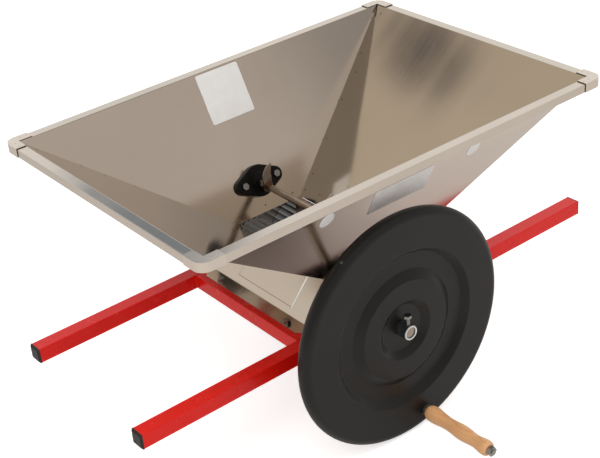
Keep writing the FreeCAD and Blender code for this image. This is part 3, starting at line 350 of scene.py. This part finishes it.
LOOKS = {
    "sheet_x": sheet_steel("sheet_steel_x", 0),
    "sheet_y": sheet_steel("sheet_steel_y", 0, low=0.07, high=0.11),
    "plate": sheet_steel("plate_steel", 1, tone=1.10, low=0.13, high=0.20),
    "cap": sheet_steel("cap_steel", 0, tone=1.08, low=0.12, high=0.19, marks_at=CAP_MARKS),
    # A bright polished strip that stands in for the light seen through a slit.
    "slit_light": bar_steel("slit_light_stand_in", (0.97, 0.97, 0.96), 0.05, 0.10),
    # Along a tab's crease this dark brown is painted shade.
    "crease": heat_tint_and_crease_shade("crease_painted_shade", (0.36, 0.25, 0.18), (0.50, 0.38, 0.29)),
    "red": powder_coat("red_powder_coat"),
    "wheel": moulded_plastic("black_moulding", (0.0058, 0.0055, 0.0049),
                             (0.0086, 0.0082, 0.0074), 0.33, 0.40, depth=0.06,
                             specular=0.32, nick=WHEEL_NICK),
    "nylon": moulded_plastic("black_nylon", (0.0020, 0.0020, 0.0018),
                             (0.0045, 0.0045, 0.0040), 0.26, 0.34, depth=0.05,
                             specular=0.18),
    "plug": moulded_plastic("black_plug", (0.0075, 0.0068, 0.0064),
                            (0.0150, 0.0140, 0.0132), 0.42, 0.55, specular=0.4),
    # Both rollers are the same grey moulding: the right one's lighter, more contrasty ramp is
    # painted light, and both darken to the roots as painted shade.
    "roller_left": fluted_moulding("grey_moulding_left", -ROLLER_X,
                                   ((0.040, 0.037, 0.034), (0.072, 0.067, 0.062),
                                    (0.098, 0.092, 0.086), (0.125, 0.118, 0.110))),
    "roller_right": fluted_moulding("grey_moulding_right", ROLLER_X,
                                    ((0.012, 0.012, 0.012), (0.065, 0.067, 0.070),
                                     (0.150, 0.156, 0.162), (0.240, 0.250, 0.260))),
    "gear": moulded_plastic("natural_nylon", (0.62, 0.60, 0.53), (0.74, 0.72, 0.65),
                            0.36, 0.46),
    "bar": bar_steel("turned_steel", (0.43, 0.36, 0.29), 0.18, 0.26),
    "zinc": bar_steel("zinc_plate", (0.36, 0.35, 0.325), 0.22, 0.34, ring_axis=2),
    "boss": hub_steel("boss_steel", BOSS_FRONT + 0.0006, (0.18, 0.195, 0.21),
                      (0.86, 0.88, 0.88)),
    "blade": blade_steel("blade_steel"),
    "wood": varnished_wood("turned_wood"),
    "sticker": paper_sticker("blank_sticker", (0.86, 0.86, 0.85)),
    # The stickers outside the near wall get a whiter copy of the sticker colour: painted light that
    # brightens them in the shade under the wall.
    "sticker_painted_light": paper_sticker("blank_sticker_outside_painted_light", (0.96, 0.96, 0.95)),
    "tint": heat_tint_and_crease_shade("weld_tint", (0.17, 0.115, 0.075), (0.32, 0.23, 0.16)),
    # Black bars in the gaps round the corner caps, as painted shade.
    "seam": moulded_plastic("painted_gap_shade", (0.010, 0.010, 0.010), (0.022, 0.021, 0.020),
                            0.55, 0.7),
}

# How the names of the nodes with a look start. The first match counts, and the rest is
# zinc plated.
NODE_LOOKS = (
    (("rail_", "cross_tube"), "red"),
    (("corner_cap",), "cap"),
    (("hopper_wall_left", "hopper_wall_right"), "sheet_y"),
    (("hopper_wall", "side_plate", "gear_guard"), "sheet_x"),
    (("support_plate",), "plate"),
    (("end_plug",), "plug"),
    (("bearing_block", "agitator_bearing_near", "agitator_bearing_far"), "nylon"),
    (("handwheel",), "wheel"),
    (("drive_roller",), "roller_left"),
    (("driven_roller",), "roller_right"),
    (("drive_gear", "driven_gear", "agitator_gear"), "gear"),
    (("agitator_blade",), "blade"),
    (("handle_grip",), "wood"),
    (("wheel_boss",), "boss"),
    (("drive_shaft", "driven_shaft", "agitator_shaft", "agitator_collar"), "bar"),
)
SHARP_ANGLE = math.radians(28)

for node_name, item in nodes.items():
    looks = [look for starts, look in NODE_LOOKS if node_name.startswith(starts)]
    item.data.materials.clear()
    item.data.materials.append(LOOKS[looks[0] if looks else "zinc"])
    item.data.shade_smooth()
    item.data.set_sharp_from_angle(angle=SHARP_ANGLE)


# Mesh helpers for the details

def add_piece(name, mesh, look, body, smooth_angle=40):
    """Makes an object of a bmesh, dresses it and lets it ride on a body."""
    bmesh.ops.recalc_face_normals(mesh, faces=mesh.faces)
    data = bpy.data.meshes.new(name)
    mesh.to_mesh(data)
    mesh.free()
    data.materials.append(LOOKS[look])
    data.shade_smooth()
    data.set_sharp_from_angle(angle=math.radians(smooth_angle))
    piece = bpy.data.objects.new(name, data)
    scene.collection.objects.link(piece)
    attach(piece, body)


def turns(count):
    """The angles of count even steps round a circle."""
    return [2 * math.pi * step / count for step in range(count)]


def straight(start, end, steps):
    return [start.lerp(end, step / steps) for step in range(steps + 1)]


def skin(mesh, rings):
    """Joins rings of points with faces and closes both ends."""
    for first, second in zip(rings, rings[1:]):
        for side in range(len(first)):
            after = (side + 1) % len(first)
            mesh.faces.new((first[side], first[after], second[after], second[side]))
    mesh.faces.new(rings[0])
    mesh.faces.new(rings[-1])


def sweep(mesh, path, radii, sides=10):
    """Adds a round bar along a path, with one radius for each point and closed ends."""
    rings = []
    across = None
    last = len(path) - 1
    for number, (point, radius) in enumerate(zip(path, radii)):
        ahead = path[min(number + 1, last)] - path[max(number - 1, 0)]
        ahead.normalize()
        if across is None:
            across = ahead.orthogonal().normalized()
        across = (across - ahead * across.dot(ahead)).normalized()
        upward = ahead.cross(across)
        rings.append([
            mesh.verts.new(point + (across * math.cos(angle) + upward * math.sin(angle)) * radius)
            for angle in turns(sides)])
    skin(mesh, rings)


def lathe(mesh, profile, place, sides):
    """Adds a turned form. The profile is (radius, height) and place turns Z to its axis."""
    skin(mesh, [[
        mesh.verts.new(place @ Vector((radius * math.cos(angle), radius * math.sin(angle), height)))
        for angle in turns(sides)] for radius, height in profile])


def plate(mesh, outline, thickness, place):
    """Adds a thin plate with a softened upper edge. The outline lies in X and Y of place."""
    middle = sum(outline, Vector((0, 0))) / len(outline)
    rings = []
    for scale, height in ((1.0, 0.0), (1.0, thickness * 0.6), (0.985, thickness)):
        flat = [middle + (corner - middle) * scale for corner in outline]
        rings.append([mesh.verts.new(place @ Vector((point.x, point.y, height)))
                      for point in flat])
    skin(mesh, rings)


def rounded_rectangle(width, height, radius, steps=6):
    points = []
    for number, (sx, sy) in enumerate(((1, 1), (-1, 1), (-1, -1), (1, -1))):
        for step in range(steps + 1):
            angle = math.pi / 2 * (number + step / steps)
            points.append(Vector((sx * (width / 2 - radius) + radius * math.cos(angle),
                                  sy * (height / 2 - radius) + radius * math.sin(angle))))
    return points


def ellipse(width, height):
    return [Vector((width / 2 * math.cos(angle), height / 2 * math.sin(angle)))
            for angle in turns(40)]


def turned_to(first, second, third):
    """The turn that brings X, Y and Z to three directions."""
    return Matrix((first, second, third)).transposed().to_4x4()


def wall_place(side, along, height, lift):
    """A frame on a hopper wall: X level, Y up the slope and Z off the sheet, towards the
    inside. lift is the distance from the inner face."""
    sign = 1 if side in ("far", "right") else -1
    if side in ("near", "far"):
        low, high = THROAT_Y, RIM_Y
        out, level = Vector((0, sign, 0)), Vector((1, 0, 0))
    else:
        low, high = THROAT_X, RIM_X
        out, level = Vector((sign, 0, 0)), Vector((0, 1, 0))
    slope = (high - low) / (RIM_Z - THROAT_Z)
    climb = (out * slope + Vector((0, 0, 1))).normalized()
    normal = (Vector((0, 0, slope)) - out).normalized()
    base = out * (low + slope * (height - THROAT_Z)) + level * along + Vector((0, 0, height))
    return Matrix.Translation(base + normal * lift) @ turned_to(level, climb, normal)


# Blank stickers

STICKER_THICKNESS = 0.00025
INNER_LIFT, OUTER_LIFT = 0.00005, -SHEET - 0.00030

# Name, wall, place along the wall, height and outline
STICKERS = (
    ("sticker_square", "far", 0.004, 0.3292, rounded_rectangle(0.103, 0.104, 0.004)),
    ("sticker_band", "near", 0.0, 0.3050, rounded_rectangle(0.139, 0.063, 0.003)),
    ("sticker_round_left", "near", -0.174, 0.3195, ellipse(0.031, 0.035)),
    ("sticker_round_right", "near", 0.168, 0.3255, ellipse(0.030, 0.034)),
)


def make_stickers():
    """One sticker on the inside of the far wall and three on the outside of the near one."""
    for name, side, along, height, outline in STICKERS:
        # The outside stickers take the whiter copy, which is painted light.
        lift, look = ((INNER_LIFT, "sticker") if side == "far"
                      else (OUTER_LIFT, "sticker_painted_light"))
        mesh = bmesh.new()
        plate(mesh, outline, STICKER_THICKNESS, wall_place(side, along, height, lift))
        add_piece(name, mesh, look, "frame")


# Spot welds on the hopper

# Along a hip: share of the way up, and distance from the hip. The cap hides part of those
# above CAP_SHARE, and none sits further than HIP_SHIFT from its even place.
HIP_SPOTS = ((0.955, 0.019), (0.748, 0.009), (0.653, 0.018), (0.497, 0.007),
             (0.294, 0.006), (0.112, 0.008), (0.046, 0.006))
CAP_SHARE = 0.9
HIP_SHIFT = 0.003

# Round the throat: places along the short and the long walls, and their height
THROAT_SPOTS_SHORT, THROAT_HEIGHT_SHORT = (-0.105, -0.036, 0.036, 0.105), 0.1185
THROAT_SPOTS_LONG, THROAT_HEIGHT_LONG = (-0.073, -0.004, 0.066), 0.1165

# A spot weld with its low middle, as (radius, height)
HIP_WELD = ((0.0023, 0.0), (0.0021, 0.00030), (0.0013, 0.00022), (0.0004, 0.00030))
THROAT_WELD = ((0.0021, 0.0), (0.0019, 0.00028), (0.0012, 0.00020), (0.0004, 0.00028))


def spot_weld(mesh, profile, side, along, height):
    lathe(mesh, profile, wall_place(side, along, height, -0.0001), 16)


def make_spot_welds():
    """Welds along the hips of the left and right wall, and round the throat."""
    wobble = random.Random(7)
    for side in ("left", "right"):
        mesh = bmesh.new()
        for share, inset in HIP_SPOTS:
            height = THROAT_Z + (RIM_Z - THROAT_Z) * share
            half = THROAT_Y + (RIM_Y - THROAT_Y) * share
            for end in (-1, 1):
                if share > CAP_SHARE and end < 0:
                    continue
                along = end * (half - inset - wobble.uniform(0, HIP_SHIFT))
                spot_weld(mesh, HIP_WELD, side, along,
                          height + wobble.uniform(-HIP_SHIFT, HIP_SHIFT))
        for along in THROAT_SPOTS_SHORT:
            spot_weld(mesh, THROAT_WELD, side, along, THROAT_HEIGHT_SHORT)
        add_piece("spot_welds_" + side, mesh, "tint", "frame")
    for side in ("near", "far"):
        mesh = bmesh.new()
        for along in THROAT_SPOTS_LONG:
            spot_weld(mesh, THROAT_WELD, side, along, THROAT_HEIGHT_LONG)
        add_piece("spot_welds_" + side, mesh, "tint", "frame")


# Rolled bends along the rim, and painted shade in the seams round its corner caps

BEND_RADIUS = 0.0010
SEAM_RADIUS = 0.00055


def make_bends():
    """The rounded bends of the folded sheet, just proud of the model's sharp edges. Their
    ends lie under the corner caps."""
    end_x, end_y = CAP_LOW.x + 0.002, CAP_LOW.y + 0.002
    z = RIM_Z - BEND_RADIUS + 0.0001
    for name, shift in (("inner", 0.0002), ("outer", RIM_FLANGE - 0.0009)):
        mesh = bmesh.new()
        x, y = RIM_X + shift, RIM_Y + shift
        for side in (-1, 1):
            for start, end in (((-end_x, y * side, z), (end_x, y * side, z)),
                               ((x * side, -end_y, z), (x * side, end_y, z))):
                path = straight(Vector(start), Vector(end), 12)
                sweep(mesh, path, [BEND_RADIUS] * len(path), 12)
        add_piece("rim_bend_" + name, mesh, "sheet_x", "frame", 80)


def make_cap_seams():
    """Black bars along the narrow gaps where a corner cap's edges lie on the rim: painted shade in
    the gaps.
    """
    mesh = bmesh.new()
    top, lip, low = RIM_Z + 0.0003, RIM_Z + 0.0007, CAP_LOW.z + 0.001
    out_x, out_y = RIM_X + RIM_FLANGE + 0.0003, RIM_Y + RIM_FLANGE + 0.0003
    end_x, end_y = CAP_LOW.x - 0.0003, CAP_LOW.y - 0.0003
    in_x, in_y = RIM_X - 0.0002, RIM_Y - 0.0002
    runs = (
        ((end_x, RIM_Y + 0.001, top), (end_x, out_y, top), (end_x, out_y, low)),
        ((RIM_X + 0.001, end_y, top), (out_x, end_y, top), (out_x, end_y, low)),
        ((end_x, in_y, lip), (in_x, in_y, lip), (in_x, end_y, lip)))
    for sx in (-1, 1):
        for sy in (-1, 1):
            for run in runs:
                points = [Vector((x * sx, y * sy, z)) for x, y, z in run]
                for start, end in zip(points, points[1:]):
                    path = straight(start, end, 4)
                    sweep(mesh, path, [SEAM_RADIUS] * len(path), 8)
    add_piece("cap_seams", mesh, "seam", "frame", 80)


# The tab between the slits of a support plate

TAB_FOOT, TAB_HEAD = Vector((-0.1371, 0, 0.0418)), Vector((-0.0845, 0, 0.0991))
SLIT_Y, SLIT_WIDTH = 0.084, 0.0042
CREASE_LENGTH, CREASE_WIDTH = 0.164, 0.0012


def make_tab_lines():
    """A bright strip in the near slit that stands in for the light seen through it, a dull one in
    the far slit, and the crease of the tab between them, dark brown as painted shade."""
    climb = (TAB_HEAD - TAB_FOOT).normalized()
    out = Vector((-climb.z, 0, climb.x))
    turn = turned_to(Vector((0, 1, 0)), -climb, out)
    strip = rounded_rectangle(SLIT_WIDTH, (TAB_HEAD - TAB_FOOT).length + 0.001, 0.0008)
    crease = rounded_rectangle(CREASE_LENGTH, CREASE_WIDTH, 0.0005)
    for side, angle, sign in (("left", 0, 1), ("right", math.pi, -1)):
        spin = Matrix.Rotation(angle, 4, "Z")
        # The near slit gets a bright polished strip that stands in for the light seen through the
        # slit; the far slit gets a dull strip.
        for name, y, look in (("near", -SLIT_Y, "slit_light"), ("far", SLIT_Y, "plate")):
            mesh = bmesh.new()
            middle = (TAB_FOOT + TAB_HEAD) / 2 + Vector((0, y * sign, 0)) - out * 0.0005
            plate(mesh, strip, 0.0008, spin @ Matrix.Translation(middle) @ turn)
            add_piece("slit_strip_" + name + "_" + side, mesh, look, "frame")
        # The crease strip's dark brown is painted shade in the bend.
        mesh = bmesh.new()
        middle = TAB_FOOT + climb * 0.0010 - out * 0.00005
        plate(mesh, crease, 0.00018, spin @ Matrix.Translation(middle) @ turn)
        add_piece("tab_crease_" + side, mesh, "crease", "frame")


# Welds of the frame

SIDE_BEAD, TOP_BEAD = 0.0022, 0.0019
TOP_BEAD_HALF = 0.013


def bead(mesh, start, end, radius, seed):
    """A row of overlapping weld ripples from start to end."""
    wobble = random.Random(seed)
    count = max(8, int((end - start).length / 0.0007))
    path, radii = [], []
    for step, point in enumerate(straight(start, end, count)):
        share = step / count
        ripple = 0.80 + 0.20 * abs(math.sin(step * 0.9)) + wobble.uniform(-0.05, 0.05)
        taper = min(1.0, 0.35 + 6 * min(share, 1 - share))
        path.append(point + Vector([wobble.uniform(-0.00012, 0.00012) for _ in range(3)]))
        radii.append(radius * ripple * taper)
    sweep(mesh, path, radii)


def make_frame_welds():
    """Beads up both sides and over the top of each joint of a cross tube and a rail."""
    mesh = bmesh.new()
    top, bottom = TUBE - 0.0002, 0.0025
    seed = 1
    for side_x in (-1, 1):
        middle = CROSS_X * side_x
        for side_y in (-1, 1):
            y = (RAIL_Y - TUBE / 2) * side_y
            for edge in (-1, 1):
                x = middle + TUBE / 2 * edge
                bead(mesh, Vector((x, y, bottom)), Vector((x, y, top - 0.002)),
                     SIDE_BEAD, seed)
                seed += 1
            bead(mesh, Vector((middle - TOP_BEAD_HALF, y, top)),
                 Vector((middle + TOP_BEAD_HALF, y, top)), TOP_BEAD, seed)
            seed += 1
    add_piece("frame_welds", mesh, "red", "frame", 180)


# Welds of the blades, and set screws in the collars

BLADE_BEAD = 0.0017
BEAD_ARC = math.radians(62)
BEAD_STEPS = 24
SCREW_SEAT = 0.0095

# A set screw with its socket, as (radius, height)
SET_SCREW = ((0.0030, 0.0), (0.0030, 0.0046), (0.0026, 0.0050), (0.0016, 0.0050),
             (0.0015, 0.0036), (0.0003, 0.0034))


def make_blade_welds():
    """A bead on the shaft at each face of a blade. The outer faces of the first and the
    last blade have none."""
    mesh = bmesh.new()
    inner_radius = AGITATOR_RADIUS + 0.0006
    blades = sorted(name for name in nodes if name.startswith("agitator_blade"))
    for number, name in enumerate(blades):
        low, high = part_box(name)
        middle = math.pi / 2 + math.pi * (number % 2)
        faces = []
        if number != 0:
            faces.append(high.y + 0.0004)
        if number != len(blades) - 1:
            faces.append(low.y - 0.0004)
        for face in faces:
            wobble = random.Random(50 + number)
            path, radii = [], []
            for step in range(BEAD_STEPS + 1):
                angle = middle - BEAD_ARC + 2 * BEAD_ARC * step / BEAD_STEPS
                path.append(Vector((inner_radius * math.cos(angle), face,
                                    AGITATOR_Z + inner_radius * math.sin(angle))))
                taper = min(1.0, 0.4 + 0.25 * min(step, BEAD_STEPS - step))
                radii.append(BLADE_BEAD * taper * wobble.uniform(0.82, 1.08))
            sweep(mesh, path, radii)
    add_piece("blade_welds", mesh, "blade", "agitator", 180)


def make_set_screws():
    mesh = bmesh.new()
    for name in ("agitator_collar_far", "agitator_collar_near"):
        low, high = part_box(name)
        middle = Vector((0, (low.y + high.y) / 2, AGITATOR_Z))
        for angle in (math.radians(155), math.radians(65)):
            axis = Vector((math.cos(angle), 0, math.sin(angle)))
            turn = axis.to_track_quat("Z", "Y").to_matrix().to_4x4()
            lathe(mesh, SET_SCREW, Matrix.Translation(middle + axis * SCREW_SEAT) @ turn, 24)
    add_piece("set_screws", mesh, "zinc", "agitator", 30)


# Screw threads that show

CLAMP_THREAD_RADIUS, CLAMP_PITCH, CLAMP_HEAD = 0.0040, 0.00125, 0.0055
ROD_THREAD_RADIUS, ROD_PITCH = 0.0050, 0.0009


def thread(mesh, base, axis, radius, length, pitch):
    """A raised helix round an axis, from base over the given length."""
    side = axis.orthogonal().normalized()
    third = axis.cross(side)
    count = max(12, int(length / pitch * 20))
    path, radii = [], []
    for step in range(count + 1):
        share = step / count
        angle = 2 * math.pi * length / pitch * share
        path.append(base + axis * (length * share)
                    + (side * math.cos(angle) + third * math.sin(angle)) * radius)
        radii.append(pitch * 0.30 * min(1.0, 0.3 + 8 * min(share, 1 - share)))
    sweep(mesh, path, radii, 6)


def make_threads():
    """The clamp screw between the boss and its head, and the handle rod's free end."""
    low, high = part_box("clamp_screw")
    boss_top = ROLLER_Z + BOSS_RADIUS
    start = Vector((-ROLLER_X, (low.y + high.y) / 2, boss_top + 0.0003))
    mesh = bmesh.new()
    thread(mesh, start, Vector((0, 0, 1)), CLAMP_THREAD_RADIUS,
           high.z - CLAMP_HEAD - boss_top - 0.0008, CLAMP_PITCH)
    add_piece("clamp_thread", mesh, "zinc", "drive", 180)
    low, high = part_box("handle_bolt")
    start = Vector(((low.x + high.x) / 2, low.y + 0.0002, (low.z + high.z) / 2))
    mesh = bmesh.new()
    thread(mesh, start, Vector((0, 1, 0)), ROD_THREAD_RADIUS,
           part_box("handle_end_nut")[0].y - low.y - 0.0003, ROD_PITCH)
    add_piece("rod_thread", mesh, "zinc", "drive", 180)


make_stickers()
make_spot_welds()
make_bends()
make_cap_seams()
make_tab_lines()
make_frame_welds()
make_blade_welds()
make_set_screws()
make_threads()


# Camera, from the photograph's own perspective. The focal length is in its pixels.

CAMERA_PLACE = (-1.3705, -1.8263, 1.4429)
CAMERA_AZIMUTH, CAMERA_DROP, CAMERA_ROLL = (math.radians(a) for a in (36.11, 30.00, -5.48))
FOCAL_PIXELS, PHOTO_WIDTH = 1352.61, 600
SENSOR_WIDTH = 36.0


def set_camera():
    forward = Vector((math.sin(CAMERA_AZIMUTH) * math.cos(CAMERA_DROP),
                      math.cos(CAMERA_AZIMUTH) * math.cos(CAMERA_DROP),
                      -math.sin(CAMERA_DROP)))
    level = Vector((math.cos(CAMERA_AZIMUTH), -math.sin(CAMERA_AZIMUTH), 0))
    upward = level.cross(forward)
    right = level * math.cos(CAMERA_ROLL) + upward * math.sin(CAMERA_ROLL)
    up = upward * math.cos(CAMERA_ROLL) - level * math.sin(CAMERA_ROLL)
    data = bpy.data.cameras.new("camera")
    data.sensor_fit = "HORIZONTAL"
    data.sensor_width = SENSOR_WIDTH
    data.lens = FOCAL_PIXELS / PHOTO_WIDTH * SENSOR_WIDTH
    data.clip_end = 60
    camera = bpy.data.objects.new("camera", data)
    scene.collection.objects.link(camera)
    camera.matrix_world = Matrix.Translation(CAMERA_PLACE) @ turned_to(right, up, -forward)
    scene.camera = camera


set_camera()


# Floor, world and lamps

FLOOR_SIZE, FLOOR_Z = 30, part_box("handwheel")[0].z - 0.001
CAMERA_GLOW, GLOSSY_GLOW = 0.62, 0.03

# The room's own light, then azimuth and elevation of each patch in it, its inner and outer
# angle and the light that it adds. The first patch is the backdrop and the second the dark
# card in front of it.
WORLD_LEVEL = (0.61, 0.57, 0.54)
WORLD_PATCHES = (
    (40, 25, 10, 34, (0.74, 0.79, 0.87)),
    (29.0, 29.6, 2.4, 5.8, (-1.09, -1.05, -1.05)),
    (-16.7, 44.8, 0.6, 2.4, (-0.50, -0.44, -0.33)),
    (-19, 45.5, 8, 18, (0.00, -0.03, -0.10)),
    (-60, 74, 10, 30, (-0.24, -0.22, -0.22)),
    (-44, 15, 8, 20, (0.16, 0.16, 0.13)),
    (137.5, 22, 2, 8, (-0.24, -0.22, -0.20)),
    (-125, 15, 20, 55, (-0.16, -0.15, -0.14)),
)


def make_floor():
    """A pale floor with the object's shadow. Cameras see it whiter, and shiny surfaces a
    little."""
    bpy.ops.mesh.primitive_plane_add(size=FLOOR_SIZE, location=(0, 0, FLOOR_Z))
    floor = bpy.context.object
    floor.name = "floor"
    look = Look("pale_floor", Specular_IOR_Level=0.0, Roughness=0.9)
    look.put(look.ramp(look.noise(1.5, detail=2), (0.3, 0.79), (0.7, 0.82)),
             look.shader.inputs["Base Color"])
    path = look.new("ShaderNodeLightPath").outputs
    strength = look.calc("ADD", look.calc("MULTIPLY", path["Is Glossy Ray"], GLOSSY_GLOW),
                         look.calc("MULTIPLY", path["Is Camera Ray"], CAMERA_GLOW))
    glow = look.new("ShaderNodeEmission")
    look.put(strength, glow.inputs["Strength"])
    add = look.new("ShaderNodeAddShader")
    look.put(look.shader.outputs["BSDF"], add.inputs[0])
    look.put(glow.outputs["Emission"], add.inputs[1])
    look.put(add.outputs["Shader"], look.tree.nodes["Material Output"].inputs["Surface"])
    floor.data.materials.append(look.material)


def direction(azimuth, elevation):
    turn, rise = math.radians(azimuth), math.radians(elevation)
    return (math.sin(turn) * math.cos(rise), math.cos(turn) * math.cos(rise), math.sin(rise))


def make_world():
    """A soft studio: a room of even warm light with a few dim cards, and a white backdrop
    behind the object with a dark card in front of it. The camera and clear pieces see white
    all round, and metal sees the backdrop, the card and the room."""
    world = bpy.data.worlds.new("studio")
    scene.world = world
    world.use_nodes = True
    sky = Nodes(world.node_tree)
    view = sky.new("ShaderNodeTexCoord").outputs["Generated"]
    light, masks = WORLD_LEVEL, []
    for azimuth, elevation, inner, outer, gain in WORLD_PATCHES:
        dot = sky.new("ShaderNodeVectorMath", operation="DOT_PRODUCT")
        sky.put(view, dot.inputs[0])
        sky.put(direction(azimuth, elevation), dot.inputs[1])
        spread = sky.new("ShaderNodeMapRange", interpolation_type="SMOOTHSTEP")
        sky.put(dot.outputs["Value"], spread.inputs["Value"])
        sky.put(math.cos(math.radians(outer)), spread.inputs["From Min"])
        sky.put(math.cos(math.radians(inner)), spread.inputs["From Max"])
        masks.append(spread.outputs["Result"])
        card = sky.new("ShaderNodeVectorMath", operation="SCALE")
        sky.put(gain, card.inputs[0])
        sky.put(masks[-1], card.inputs["Scale"])
        add = sky.new("ShaderNodeVectorMath", operation="ADD")
        sky.put(card.outputs["Vector"], add.inputs[0])
        sky.put(light, add.inputs[1])
        light = add.outputs["Vector"]
    room = world.node_tree.nodes["Background"]
    sky.put(light, room.inputs["Color"])
    white = sky.new("ShaderNodeBackground")
    sky.put((1, 1, 1, 1), white.inputs["Color"])
    path = sky.new("ShaderNodeLightPath").outputs
    backdrop = sky.calc("MULTIPLY", masks[0], sky.calc("SUBTRACT", 1.0, masks[1]))
    seen = sky.calc("MULTIPLY", path["Is Glossy Ray"], backdrop)
    for kind in ("Is Camera Ray", "Is Transmission Ray"):
        seen = sky.calc("MAXIMUM", seen, path[kind])
    mix = sky.new("ShaderNodeMixShader")
    sky.put(seen, mix.inputs["Fac"])
    sky.put(room.outputs["Background"], mix.inputs[1])
    sky.put(white.outputs["Background"], mix.inputs[2])
    sky.put(mix.outputs["Shader"], world.node_tree.nodes["World Output"].inputs["Surface"])


def make_lamp(name, place, target, side, power):
    """A square lamp that lights the object but isn't seen in its metal."""
    data = bpy.data.lights.new(name, "AREA")
    data.shape = "SQUARE"
    data.size = side
    data.energy = power
    lamp = bpy.data.objects.new(name, data)
    lamp.location = place
    aim = Vector(target) - Vector(place)
    lamp.rotation_euler = aim.to_track_quat("-Z", "Y").to_euler()
    lamp.visible_glossy = False
    scene.collection.objects.link(lamp)


make_floor()
make_world()
make_lamp("key", (-2.2, -1.5, 3.4), (-0.1, 0, 0.0), 2.4, 70)
make_lamp("fill", (1.8, -1.9, 3.4), (0, 0, 0.1), 2.2, 30)
